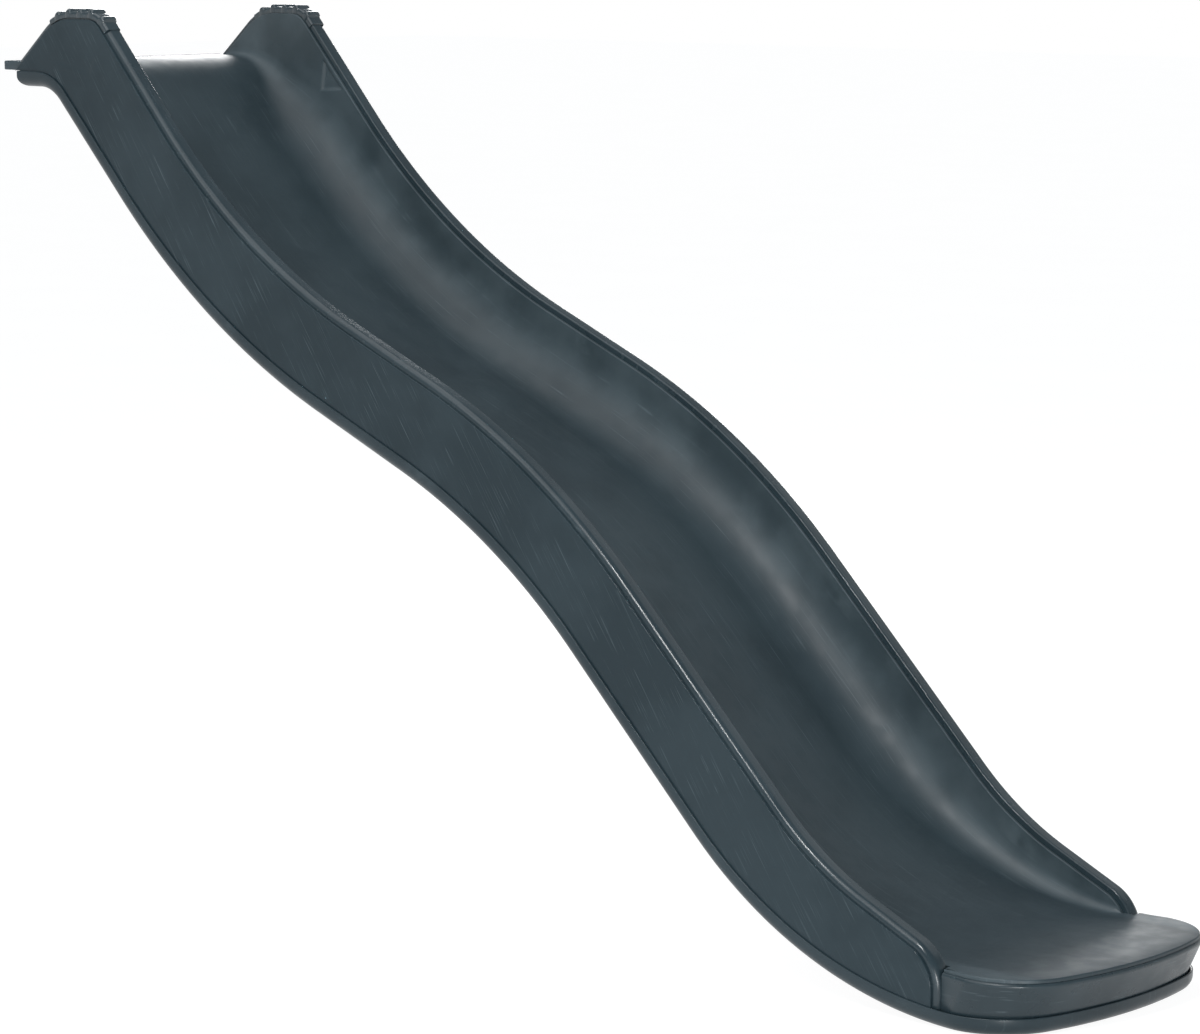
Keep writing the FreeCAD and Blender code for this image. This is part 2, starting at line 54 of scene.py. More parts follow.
# %% Place the camera
CAMERA_AT = Vector((5.306, -4.5059, 0.2535))
CAMERA_YAW = -0.75671
CAMERA_DROP = 0.1413
FOCAL_LENGTH = 128.777


def place_camera():
    camera = bpy.data.objects.new("camera", bpy.data.cameras.new("camera"))
    scene.collection.objects.link(camera)
    camera.data.sensor_width = 36
    camera.data.lens = FOCAL_LENGTH
    camera.data.clip_end = 100
    level = math.cos(CAMERA_DROP)
    looks = Vector((math.sin(CAMERA_YAW) * level, math.cos(CAMERA_YAW) * level, -math.sin(CAMERA_DROP)))
    camera.location = CAMERA_AT
    camera.rotation_mode = "QUATERNION"
    camera.rotation_quaternion = looks.to_track_quat("-Z", "Y")
    scene.camera = camera


place_camera()
print("camera at", tuple(scene.camera.location), "lens", scene.camera.data.lens)

# %% [markdown]
# ## Curves of the side view
# The slide is one side view carried across its width. Each of its three curves, the sliding
# surface, the rim and the underside, is a polyline whose corners are rounded. A corner is
# (x, z, radius): positive radii curve up like a valley, negative ones down like a hump.

# %% Rounded polylines
def heading(start, end):
    return math.atan2(end[1] - start[1], end[0] - start[0])


def ahead(angle):
    return Vector((math.cos(angle), 0, math.sin(angle)))


def upward(angle):
    return Vector((-math.sin(angle), 0, math.cos(angle)))


def crossing(first, first_angle, second, second_angle):
    """Where two lines meet, each given by a point and a heading."""
    dx = second[0] - first[0]
    dz = second[1] - first[1]
    apart = dx * math.sin(second_angle) - dz * math.cos(second_angle)
    along = apart / math.sin(second_angle - first_angle)
    return (first[0] + along * math.cos(first_angle), first[1] + along * math.sin(first_angle))


def lift(corners, distance):
    """The curve that runs at a distance above another, square to it."""
    angles = [heading(a, b) for a, b in zip(corners, corners[1:])]
    moved = []
    for corner, angle in zip(corners, angles + angles[-1:]):
        shift = upward(angle) * distance
        moved.append((corner[0] + shift.x, corner[1] + shift.z))
    lifted = [moved[0] + (0.0,)]
    for i in range(1, len(angles)):
        point = crossing(moved[i - 1], angles[i - 1], moved[i], angles[i])
        lifted.append(point + (corners[i][2] - distance,))
    lifted.append(moved[-1] + (0.0,))
    return lifted


print("90 degrees is straight up:", [round(value) for value in ahead(math.radians(90))])

# %% [markdown]
# Rounding a corner replaces its point by an arc that touches both sides. A place on the finished
# curve is then found by walking along its runs, and it comes with the heading there, which is
# what turns an outline square to the curve.

# %% Round the corners and walk along
def rounded(corners):
    """Straight and arc runs of a curve: start, heading, length, radius and turn."""
    runs = []
    here = Vector((corners[0][0], 0, corners[0][1]))
    for before, corner, after in zip(corners, corners[1:], corners[2:]):
        angle = heading(before, corner)
        turn = heading(corner, after) - angle
        radius = math.copysign(corner[2], turn)
        tangent = abs(radius * math.tan(turn / 2))
        peak = Vector((corner[0], 0, corner[1]))
        arc_start = peak - ahead(angle) * tangent
        runs.append((here, angle, (arc_start - here).length, 0.0, 0.0))
        runs.append((arc_start, angle, abs(radius * turn), radius, turn))
        here = peak + ahead(angle + turn) * tangent
    last = Vector((corners[-1][0], 0, corners[-1][1]))
    runs.append((here, heading(corners[-2], corners[-1]), (last - here).length, 0.0, 0.0))
    return runs


def length_of(runs):
    return sum(run[2] for run in runs)


def place(runs, distance):
    """Point and heading at a distance along a curve; beyond its ends it goes straight on."""
    for start, angle, length, radius, turn in runs:
        if distance <= length:
            break
        distance -= length
    else:
        distance += length
    if radius == 0:
        return start + ahead(angle) * distance, angle
    swing = turn * distance / length
    return start + upward(angle) * radius - upward(angle + swing) * radius, angle + swing


print("a square corner rounded by 10:", len(rounded([(0, 0, 0), (50, 0, 10), (50, 50, 0)])), "runs")

# %% [markdown]
# The sliding surface drops from the crest beside the platform, dips into a valley, rolls over a
# hump and lands on a level run-out. Down the slopes the rim keeps one height above it and the
# underside one depth below it. The rim also climbs over an ear at the entrance and turns down in
# front, and the underside ends level on the ground.

# %% The slide's sizes, in millimetres
REAR_X = -27.0
FLANGE_TOP = 14.0
FLANGE_DEPTH = 46.0
GROUND = -1200.0
NOSE_TOP = GROUND + 78.0
RUN_OUT_LENGTH = 425.0
CHANNEL_DEPTH = 110.0
HULL_DEPTH = 38.5
HALF_BODY = 230.0
SHELL_INNER = 225.5
RAIL_OUTER = 225.3
RAIL_INNER = 200.6
WALL_Y = 195.4
BED_WALL = 5.0
LOWER_SLOPE = math.radians(44.2)
RIM_END_SLOPE = math.radians(24.2)
EAR_REAR_SLOPE = math.radians(40.0)
EAR_CROWN = 102.0
EAR_BACK_RADIUS, EAR_FRONT_RADIUS = 110.0, 50.0
RIM_FOOT_SETBACK = 38.0
RIM_FRONT_RISE, RIM_FRONT_RADIUS, RIM_LANDING_RADIUS = 14.0, 70.0, 500.0
CREST_SETBACK, CREST_RADIUS = 136.0, 110.0
VALLEY_RUN, VALLEY_SLOPE, VALLEY_RADIUS = 354.0, math.radians(45.7), 1256.0
HUMP_RUN, HUMP_SLOPE, HUMP_RADIUS = 618.0, math.radians(22.4), 1120.0
LANDING_RADIUS, BASE_LANDING_RADIUS = 600.0, 688.0
WALL_SETBACK, FIT_GAP = 166.0, 0.2
CROWN_TOP = FLANGE_TOP + 78.0
FOOT_HEIGHT = 16.5


def floor_corners():
    crest = (REAR_X + CREST_SETBACK, FLANGE_TOP)
    valley = (crest[0] + VALLEY_RUN, crest[1] - VALLEY_RUN * math.tan(VALLEY_SLOPE))
    hump = (valley[0] + HUMP_RUN, valley[1] - HUMP_RUN * math.tan(HUMP_SLOPE))
    landing = crossing(hump, -LOWER_SLOPE, (0, NOSE_TOP), 0)
    return [(REAR_X, FLANGE_TOP, 0), crest + (-CREST_RADIUS,), valley + (VALLEY_RADIUS,),
            hump + (-HUMP_RADIUS,), landing + (LANDING_RADIUS,),
            (landing[0] + RUN_OUT_LENGTH, NOSE_TOP, 0)]


FLOOR_LINE = floor_corners()
FLOOR = rounded(FLOOR_LINE)
TIP_X = FLOOR_LINE[-1][0]
WALL_FRONT = TIP_X - WALL_SETBACK
NOSE_REAR = WALL_FRONT + FIT_GAP


def rim_corners():
    above = lift(FLOOR_LINE, CHANNEL_DEPTH)
    foot = (REAR_X + RIM_FOOT_SETBACK, FLANGE_TOP)
    ear_back = crossing(foot, EAR_REAR_SLOPE, (0, CROWN_TOP), 0)
    front = (WALL_FRONT, NOSE_TOP + RIM_FRONT_RISE)
    landing = crossing(above[3], -LOWER_SLOPE, front, -RIM_END_SLOPE)
    return [crossing(foot, EAR_REAR_SLOPE, (0, 0), 0) + (0,), ear_back + (-EAR_BACK_RADIUS,),
            (ear_back[0] + EAR_CROWN, CROWN_TOP, -EAR_FRONT_RADIUS), above[2], above[3],
            landing + (RIM_LANDING_RADIUS,), front + (-RIM_FRONT_RADIUS,), (WALL_FRONT, GROUND, 0)]


def base_corners():
    below = lift(FLOOR_LINE, -HULL_DEPTH)
    landing = crossing(below[3], -LOWER_SLOPE, (0, GROUND), 0)
    return below[:4] + [landing + (BASE_LANDING_RADIUS,), (TIP_X, GROUND, 0)]


RIM_LINE = rim_corners()
RIM = rounded(RIM_LINE)
BASE_LINE = base_corners()
BASE = rounded(BASE_LINE)
print("sliding surface %.0f mm, rim %.0f mm, underside %.0f mm"
      % (length_of(FLOOR), length_of(RIM), length_of(BASE)))

# %% [markdown]
# The walls stand square to the sliding surface, but their tops follow the rim, which is another
# curve. So a curve is traced as closely spaced points, and these helpers read a height from them.

# %% Helpers that read a curve
LOWEST_RIM = -20.0


def spread(first, last, spacing):
    """Evenly spaced numbers from first to last, both included."""
    count = max(1, math.ceil((last - first) / spacing))
    return [first + (last - first) * i / count for i in range(count + 1)]


def traced(runs, spacing=2.0):
    return [place(runs, distance)[0] for distance in spread(0, length_of(runs), spacing)]


def height_over(point, angle, trace, otherwise=0.0):
    """How far above a point, square to its curve, a traced line passes."""
    along = [(spot - point).dot(ahead(angle)) for spot in trace]
    found = []
    for i in range(len(trace) - 1):
        if along[i] * along[i + 1] <= 0 and along[i] != along[i + 1]:
            share = along[i] / (along[i] - along[i + 1])
            height = (trace[i].lerp(trace[i + 1], share) - point).dot(upward(angle))
            if height > LOWEST_RIM:
                found.append(height)
    return min(found) if found else otherwise


def level_at(x, trace):
    """Height of a traced line at x, for a line that always goes forward."""
    for a, b in zip(trace, trace[1:]):
        if a.x <= x <= b.x:
            return a.z + (b.z - a.z) * (x - a.x) / (b.x - a.x)
    return trace[-1].z


def smooth(share):
    share = min(1.0, max(0.0, share))
    return share * share * (3 - 2 * share)


print("smooth steps:", [round(smooth(share), 3) for share in spread(0, 1, 0.25)])

# %% [markdown]
# ## From rings of points to a skin
# Most pieces are one outline carried along a curve. A flat grid of cells is made first, and each
# of its corners is then moved to its place in a list of rings. Points that meet are welded, so
# an outline that returns to its start closes into a tube. Edges sharper than an angle stay crisp.

# %% Helpers that make a mesh
WELD = 0.01
SHARP_ANGLE = math.radians(38)


def skin(rings):
    """A closed mesh through rings that all have the same number of points."""
    columns = len(rings) - 1
    rows = len(rings[0]) - 1
    bm = bmesh.new()
    bmesh.ops.create_grid(bm, x_segments=columns, y_segments=rows, size=0.5)
    for index, vert in enumerate(bm.verts):
        row, column = divmod(index, columns + 1)
        vert.co = rings[column][row]
    bmesh.ops.remove_doubles(bm, verts=bm.verts, dist=WELD)
    bmesh.ops.dissolve_degenerate(bm, dist=WELD, edges=bm.edges)
    open_edges = [edge for edge in bm.edges if edge.is_boundary]
    bmesh.ops.holes_fill(bm, edges=open_edges, sides=0)
    return bm


def finished(bm, name, nodes):
    """Turn a bmesh in millimetres into a piece that stands for CAD nodes."""
    bmesh.ops.recalc_face_normals(bm, faces=bm.faces)
    bmesh.ops.scale(bm, vec=(MM, MM, MM), verts=bm.verts)
    mesh = bpy.data.meshes.new(name)
    bm.to_mesh(mesh)
    bm.free()
    mesh.shade_smooth()
    mesh.set_sharp_from_angle(angle=SHARP_ANGLE)
    piece = bpy.data.objects.new(name, mesh)
    scene.collection.objects.link(piece)
    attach(piece, "root")
    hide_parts(*nodes)
    print(name, len(mesh.polygons), "faces")
    return piece


print("points closer than", WELD, "mm are welded")

# %% [markdown]
# ## The chute bed
# The bed is one skin: a flange that lies on the platform, the channel with its coved walls, and
# the plate of the run-out. It is drawn straight, as distance along the slide, distance across
# and height, and each ring is then bent over the sliding surface.

# %% Sizes and profile of the channel
ENTRANCE_COVE = 14.0
SLOPE_COVE = 80.0
END_COVE = 8.0
COVE_FULL_BEFORE_VALLEY = 40.0
INNER_SHOULDER = 8.6
EDGE_ROUND = 1.2
COVE_SHARE, EDGE_SHARE = 0.8, 0.2
FLAT_CELLS, COVE_CELLS, WALL_CELLS, EDGE_CELLS = 10, 24, 30, 4
HIDDEN_WALL_CELLS, HIDDEN_COVE_CELLS, HIDDEN_FLAT_CELLS = 2, 6, 5
RUN_START = [sum(run[2] for run in FLOOR[:i]) for i in range(len(FLOOR))]
WALL_TOP = traced(rounded(lift(RIM_LINE, -INNER_SHOULDER)))


def cove_at(distance):
    """Radius of the channel's lower corners: it widens down the upper slope, narrows at the foot."""
    full = RUN_START[3] - COVE_FULL_BEFORE_VALLEY
    widening = smooth((distance - RUN_START[1]) / (full - RUN_START[1]))
    narrowing = (distance - RUN_START[7]) / (RUN_START[8] - RUN_START[7])
    cove = ENTRANCE_COVE + widening * (SLOPE_COVE - ENTRANCE_COVE)
    return cove + min(1, max(0, narrowing)) * (END_COVE - SLOPE_COVE)


def quarter(steps):
    """Angles that divide a quarter turn, without its start."""
    return [math.radians(90) * i / steps for i in range(1, steps + 1)]


def channel_half(distance):
    """Half of the channel's outline: from the middle of the floor up over the wall and back."""
    point, angle = place(FLOOR, distance)
    top = max(0.0, height_over(point, angle, WALL_TOP))
    cove = min(cove_at(distance), COVE_SHARE * top)
    edge = min(EDGE_ROUND, EDGE_SHARE * top)
    flat = WALL_Y - cove
    half = [(flat * i / FLAT_CELLS, 0) for i in range(FLAT_CELLS + 1)]
    half += [(flat + cove * math.sin(a), cove * (1 - math.cos(a))) for a in quarter(COVE_CELLS)]
    wall = [cove + (top - edge - cove) * i / WALL_CELLS for i in range(1, WALL_CELLS + 1)]
    half += [(WALL_Y, height) for height in wall]
    half += [(WALL_Y + edge * (1 - math.cos(a)), top - edge * (1 - math.sin(a)))
             for a in quarter(EDGE_CELLS)]
    outer = WALL_Y + BED_WALL
    half += [(outer - edge * (1 - math.sin(a)), top - edge * (1 - math.cos(a)))
             for a in quarter(EDGE_CELLS)]
    half += [(outer, (top - edge + cove) / 2), (outer, cove)]
    thick = cove + BED_WALL
    half += [(flat + thick * math.cos(a), cove - thick * math.sin(a))
             for a in quarter(HIDDEN_COVE_CELLS)]
    half += [(flat * (1 - i / HIDDEN_FLAT_CELLS), -BED_WALL) for i in range(1, HIDDEN_FLAT_CELLS + 1)]
    return [(distance, y, height) for y, height in half]


print("cove at the entrance %.0f mm, on the slope %.0f mm" % (cove_at(0), cove_at(RUN_START[4])))

# %% [markdown]
# At the entrance the bed widens into a flange that hooks on the platform's edge. Its rear corners
# are rounded in plan, its edges are rounded in section, and a shallow groove runs across it.

# %% Profile of the flange
GROOVE_AT, GROOVE_RADIUS, GROOVE_DEPTH = 14.0, 6.0, 3.0
FLANGE_CORNER, FLANGE_ROUND, FLANGE_SIDE_ROUND = 9.0, 5.6, 2.0
HOLE_Y, HOLE_RADIUS, HOLE_ROOM = 140.0, 4.5, 7.0
# Points across the flange's top: one for each flat cell of the channel, some of them at the hole.
FLANGE_FLAT = [0, 30, 60, 90, 115, HOLE_Y - HOLE_ROOM, HOLE_Y, HOLE_Y + HOLE_ROOM, 160, 172,
               WALL_Y - ENTRANCE_COVE]
FLANGE_FLAT_BELOW = [HOLE_Y + HOLE_ROOM, HOLE_Y, HOLE_Y - HOLE_ROOM, 60, 0]


def flange_half(distance):
    """Half of the flange's outline, with as many points as the channel's."""
    into_corner = max(0.0, FLANGE_CORNER - distance)
    half_width = RAIL_OUTER - FLANGE_CORNER + math.sqrt(FLANGE_CORNER ** 2 - into_corner ** 2)
    into_edge = max(0.0, FLANGE_ROUND - distance)
    drop = FLANGE_ROUND - math.sqrt(FLANGE_ROUND ** 2 - into_edge ** 2)
    from_groove = abs(distance - GROOVE_AT)
    arc = math.sqrt(max(0.0, GROOVE_RADIUS ** 2 - from_groove ** 2))
    groove = max(0.0, arc - GROOVE_RADIUS + GROOVE_DEPTH)
    top = -drop - groove
    low = -FLANGE_TOP + drop
    edge = min(FLANGE_SIDE_ROUND, (top - low) / 2.5)
    flat = WALL_Y - ENTRANCE_COVE
    beyond = half_width - edge - flat
    count = COVE_CELLS + WALL_CELLS
    half = [(y, top) for y in FLANGE_FLAT]
    half += [(flat + beyond * i / count, top) for i in range(1, count + 1)]
    half += [(half_width - edge * (1 - math.sin(a)), top - edge * (1 - math.cos(a)))
             for a in quarter(EDGE_CELLS)]
    half += [(half_width - edge * (1 - math.cos(a)), low + edge * (1 - math.sin(a)))
             for a in quarter(EDGE_CELLS)]
    hidden = HIDDEN_COVE_CELLS + HIDDEN_WALL_CELLS
    half += [(flat + beyond * (1 - i / hidden), low) for i in range(1, hidden + 1)]
    half += [(y, low) for y in FLANGE_FLAT_BELOW]
    return [(distance, y, height) for y, height in half]


print("points in half an outline: flange", len(flange_half(20)), "channel", len(channel_half(300)))

# %% [markdown]
# The nose is a tongue in plan: straight sides, round corners and a slightly bowed front, which
# is an arc tangent to both corners. The same outline serves the plate and the shell below it,
# and its front alone serves the tray under both.

# %% Outline of the nose in plan
NOSE_HALF = HALF_BODY - 4.0
NOSE_WAIST = 6.0
NOSE_CORNER = 108.0
NOSE_BOW = 14.0
NOSE_RAKE = 24.0


def front_outline(front, half, corner):
    """Half of a rounded front from the tip to where the side begins: (x, y) points."""
    centre_x = front - NOSE_BOW - corner
    centre_y = half - corner
    bow = ((centre_x - front) ** 2 + centre_y ** 2 - corner ** 2) / (2 * NOSE_BOW)
    bow_turn = math.atan2(centre_y, centre_x - front + bow)
    points = []
    for i in range(FLAT_CELLS + 1):
        angle = bow_turn * i / FLAT_CELLS
        points.append((front - bow + bow * math.cos(angle), bow * math.sin(angle)))
    for i in range(1, COVE_CELLS + 1):
        angle = bow_turn + (math.radians(90) - bow_turn) * i / COVE_CELLS
        points.append((centre_x + corner * math.cos(angle), centre_y + corner * math.sin(angle)))
    return points


def nose_outline(growth, rake=0.0):
    """Half of the nose's outline from the tip to the rear, grown all round: (x, y) points."""
    points = front_outline(TIP_X - rake + growth, NOSE_HALF + growth, NOSE_CORNER + growth)
    side_x = points[-1][0]
    for i in range(1, WALL_CELLS + 1):
        share = i / WALL_CELLS
        points.append((side_x + (NOSE_REAR - side_x) * share, NOSE_HALF + growth - NOSE_WAIST * share))
    return points


print("half of the nose's outline:", len(nose_outline(0)), "points")

# %% [markdown]
# The plate fills the space between the fronts of the walls and the nose's outline. Its rings
# spread from one to the other, so that the mesh flows out of the channel without a seam.

# %% Profile of the plate
PLATE_ROUND = 2.0
PLATE_GROWTH = -5.0
FLOOR_END_X = FLOOR[-1][0].x


def distance_at(x):
    """Distance along the sliding surface of a point on its level end."""
    return RUN_START[-1] + x - FLOOR_END_X


def plate_half(share, inset, top, low):
    """Half of the plate's outline at a share of the way from the walls' fronts to its edge."""
    edge = nose_outline(PLATE_GROWTH - inset)
    count = COVE_CELLS + WALL_CELLS
    corner_y = edge[-1][1]
    start = [WALL_Y * i / FLAT_CELLS for i in range(FLAT_CELLS + 1)]
    start += [WALL_Y + (corner_y - WALL_Y) * i / count for i in range(1, count + 1)]
    top_points = []
    for (x, y), start_y in zip(edge, start):
        distance = distance_at(NOSE_REAR + (x - NOSE_REAR) * share)
        top_points.append((distance, start_y + (y - start_y) * share, top))
    rear = top_points[-1][:2]
    side = [rear + (top + (low - top) * i / (2 * EDGE_CELLS),) for i in range(1, 2 * EDGE_CELLS + 1)]
    hidden = HIDDEN_COVE_CELLS + HIDDEN_WALL_CELLS
    kept = [FLAT_CELLS + round(count * (1 - i / hidden)) for i in range(1, hidden + 1)]
    kept += [round(FLAT_CELLS * (1 - i / HIDDEN_FLAT_CELLS)) for i in range(1, HIDDEN_FLAT_CELLS + 1)]
    low_points = [(top_points[i][0], top_points[i][1], low) for i in kept]
    return top_points + side + low_points


print("the walls end", round(distance_at(NOSE_REAR)), "mm down the sliding surface")

# %% [markdown]
# Each half outline is mirrored and bent over the sliding surface. Rings stand close together
# where the shape turns quickly: at the flange's edge and groove, beside the pockets, and at the
# walls' fronts. On the plain slopes they are further apart.

# %% Bend the halves into rings
FLANGE_EDGE_STATIONS = (0.02, 0.3, 1.0, 2.2, 3.8, 5.6, 7.2)
GROOVE_FROM, GROOVE_TO, GROOVE_SPACING = 8.7, 19.2, 0.75
AROUND_HOLES = (-HOLE_ROOM, 0, HOLE_ROOM, 13, 19)
PLATE_SHARES = (0.0001, 0.25, 0.5, 0.75)
POCKET_FROM, POCKET_TO = 241.0, 347.0
FRONT_STRETCH = 78.0


def both_halves(half):
    return half + [(distance, -y, height) for distance, y, height in half[::-1]]


def bent(runs, points):
    """Bend points given as distance, across and height over a curve."""
    ring = []
    for distance, y, height in points:
        point, angle = place(runs, distance)
        ring.append(point + upward(angle) * height + Vector((0, y, 0)))
    return ring


def bed_rings():
    wall_end = distance_at(NOSE_REAR)
    halves = [flange_half(d) for d in FLANGE_EDGE_STATIONS]
    halves += [flange_half(d) for d in spread(GROOVE_FROM, GROOVE_TO, GROOVE_SPACING)]
    halves += [flange_half(-REAR_X + x) for x in AROUND_HOLES]
    stations = spread(FLANGE_DEPTH + 0.05, POCKET_FROM - 1, 4)
    stations += spread(POCKET_FROM + 1, POCKET_TO - 2, 1.8)
    stations += spread(POCKET_TO + 3, wall_end - FRONT_STRETCH - 2, 8)
    stations += spread(wall_end - FRONT_STRETCH + 2, wall_end, 2)
    halves += [channel_half(d) for d in stations]
    halves += [plate_half(share, 0, 0, -BED_WALL) for share in PLATE_SHARES]
    for a in [0] + quarter(4):
        inset = PLATE_ROUND * (1 - math.sin(a))
        halves.append(plate_half(1, inset, -PLATE_ROUND * (1 - math.cos(a)), -BED_WALL))
    halves.append(plate_half(1, 0, -BED_WALL, -BED_WALL))
    return [bent(FLOOR, both_halves(half)) for half in halves]


BED_RINGS = bed_rings()
print("bed:", len(BED_RINGS), "rings of", len(BED_RINGS[0]), "points")

# %% [markdown]
# Beside the entrance a triangular pocket is pressed into each inner wall, its long side next to
# the rim. The wall's mesh is fine there, and the points inside the triangle are pushed outwards.

# %% Press in the pockets
POCKET_AT, POCKET_BELOW_RIM = 345.0, 14.0
POCKET_LENGTH, POCKET_DROP = 66.0, 40.0
POCKET_Y, POCKET_SOFT = 200.3, 4.5


def triangle_mask(corners, softness):
    """A function of x and z: 1 well inside a triangle, 0 outside it, smooth between."""
    sides = []
    for (ax, az), (bx, bz) in zip(corners, corners[1:] + corners[:1]):
        length = math.hypot(bx - ax, bz - az)
        sides.append((ax, az, (bz - az) / length, -(bx - ax) / length))

    def mask(x, z):
        inside = min((x - ax) * nx + (z - az) * nz for ax, az, nx, nz in sides)
        return smooth(inside / softness)

    return mask


def pocket_corners():
    middle, angle = place(rounded(lift(RIM_LINE, -POCKET_BELOW_RIM)), POCKET_AT)
    side = ahead(angle) * POCKET_LENGTH / 2
    point = middle - upward(angle) * POCKET_DROP
    return [(p.x, p.z) for p in (middle - side, middle + side, point)]


print("pocket:", [(round(x), round(z)) for x, z in pocket_corners()])

# %% [markdown]
# Two holes in the flange take the screws that fix the slide to its platform. A point of the grid
# lies at each hole's centre. It is taken out, a circle is put in its place above and below, and
# bridges join the circles to the flange and to each other. Then the bed is put together.

# %% Open the fixing holes and make the bed
HOLE_SEGMENTS = 32
POCKET_INNERMOST, POCKETS_BEFORE = 100.0, 420.0


def drill_flange(bm, y):
    """Open the flange round a grid point and line the opening with a round wall."""
    circles = []
    for z in (0, FLANGE_TOP):
        spot = Vector((0, y, z))
        centre = min(bm.verts, key=lambda vert: (vert.co - spot).length)
        room = [edge for face in centre.link_faces for edge in face.edges if centre not in edge.verts]
        bmesh.ops.delete(bm, geom=[centre], context="VERTS")
        made = bmesh.ops.create_circle(bm, segments=HOLE_SEGMENTS, radius=HOLE_RADIUS)["verts"]
        bmesh.ops.translate(bm, vec=spot, verts=made)
        circle = list({edge for vert in made for edge in vert.link_edges})
        bmesh.ops.bridge_loops(bm, edges=room + circle)
        circles += circle
    bmesh.ops.bridge_loops(bm, edges=circles)


def make_bed():
    bm = skin(BED_RINGS)
    drill_flange(bm, HOLE_Y)
    drill_flange(bm, -HOLE_Y)
    pressed = triangle_mask(pocket_corners(), POCKET_SOFT)
    for vert in bm.verts:
        across = abs(vert.co.y)
        if POCKET_INNERMOST < across < POCKET_Y and vert.co.x < POCKETS_BEFORE:
            deeper = (POCKET_Y - across) * pressed(vert.co.x, vert.co.z)
            vert.co.y = math.copysign(across + deeper, vert.co.y)
    return finished(bm, "chute_bed_skin", ["chute_bed"])


bed = make_bed()

# %% [markdown]
# ## The rails
# A rail is an upside-down U that closes the rim between the two skins. It stands on the flange,
# climbs over the ear, follows the rim and dives down in front, where it ends inside the base.

# %% Outline and rings of a rail
RAIL_LEG, RAIL_WALL, RAIL_ROUND, RAIL_OUTER_ROUND = 30.0, 4.0, 3.0, 9.5
INSIDE_BASE = traced(rounded(lift(BASE_LINE, FOOT_HEIGHT)), 4.0)
INNER_CAP_CELLS, OUTER_CAP_CELLS = 5, 8
EAR_STRETCH, FRONT_TURN, FINE_STEP, COARSE_STEP = 420.0, 190.0, 2.5, 7.0


def rounded_cap(low_y, high_y, top, inner, outer, drop):
    """Outline of an upside-down U's outside: up one side, over the top, down the other."""
    outline = [(low_y, -drop)]
    outline += [(low_y + inner * (1 - math.cos(a)), top - inner * (1 - math.sin(a)))
                for a in [0] + quarter(INNER_CAP_CELLS)]
    outline += [(high_y - outer * (1 - math.sin(a)), top - outer * (1 - math.cos(a)))
                for a in [0] + quarter(OUTER_CAP_CELLS)]
    return outline + [(high_y, -drop)]


def closed(outline, distance):
    return [(distance, y, height) for y, height in outline + outline[:1]]


def rail_rings():
    outline = rounded_cap(RAIL_INNER, RAIL_OUTER, 0, RAIL_ROUND, RAIL_OUTER_ROUND, RAIL_LEG)
    low_y, high_y = RAIL_INNER + RAIL_WALL, RAIL_OUTER - RAIL_WALL
    outline += [(high_y, -RAIL_LEG), (high_y, -RAIL_WALL), (low_y, -RAIL_WALL), (low_y, -RAIL_LEG)]
    total = length_of(RIM)
    stations = spread(0, EAR_STRETCH, FINE_STEP)
    stations += spread(EAR_STRETCH + COARSE_STEP, total - FRONT_TURN, COARSE_STEP)
    stations += spread(total - FRONT_TURN + 3, total, FINE_STEP)
    return [bent(RIM, closed(outline, d)) for d in stations]


print("a rail has", len(rail_rings()), "rings")

# %% [markdown]
# Where the rail stands on the flange it is cut off level with it by a plane, and the cut is
# filled, so that no part of it lies flat on the flange. In front it is pressed up inside the
# base. The right rail is the left one turned over, as the slide is the same on both sides.

# %% Rails and their mirror images
RAIL_STANDS_TO, RAIL_DIVES_FROM = 80.0, 1600.0


def mirrored_piece(bm, name, nodes):
    """The right piece is the left one turned over across the slide's middle."""
    twin = bm.copy()
    bmesh.ops.scale(twin, vec=(1, -1, 1), verts=twin.verts)
    left = finished(bm, "left_" + name, ["left_" + nodes])
    right = finished(twin, "right_" + name, ["right_" + nodes])
    return left, right


def cut_on_flange(bm):
    """Cut a rail off level with the flange's top, where it stands on it, and close the cut."""
    near = [face for face in bm.faces if max(vert.co.x for vert in face.verts) < RAIL_STANDS_TO]
    parts = near + list({edge for face in near for edge in face.edges})
    parts += list({vert for face in near for vert in face.verts})
    cut = bmesh.ops.bisect_plane(bm, geom=parts, plane_co=(0, 0, FLANGE_TOP), plane_no=(0, 0, -1),
                                 clear_outer=True)
    rim = [edge for edge in cut["geom_cut"] if isinstance(edge, bmesh.types.BMEdge)]
    bmesh.ops.triangle_fill(bm, use_beauty=True, edges=rim)
    print("rail cut on the flange along", len(rim), "edges; open edges left:",
          sum(edge.is_boundary for edge in bm.edges))


def make_rails():
    bm = skin(rail_rings())
    cut_on_flange(bm)
    for vert in bm.verts:
        if vert.co.x > RAIL_DIVES_FROM:
            vert.co.z = max(vert.co.z, level_at(vert.co.x, INSIDE_BASE))
    bmesh.ops.dissolve_degenerate(bm, dist=WELD, edges=bm.edges)
    return mirrored_piece(bm, "rim_rail_skin", "rim_rail")


rails = make_rails()

# %% [markdown]
# ## The side shells
# The outer walls are flat sheets with a rounded upper edge. Columns of points run from the edge
# beside the rail down to the foot inside the base, and fan out at the front where the edge
# turns down. A shallow triangle is sunk in each ear.

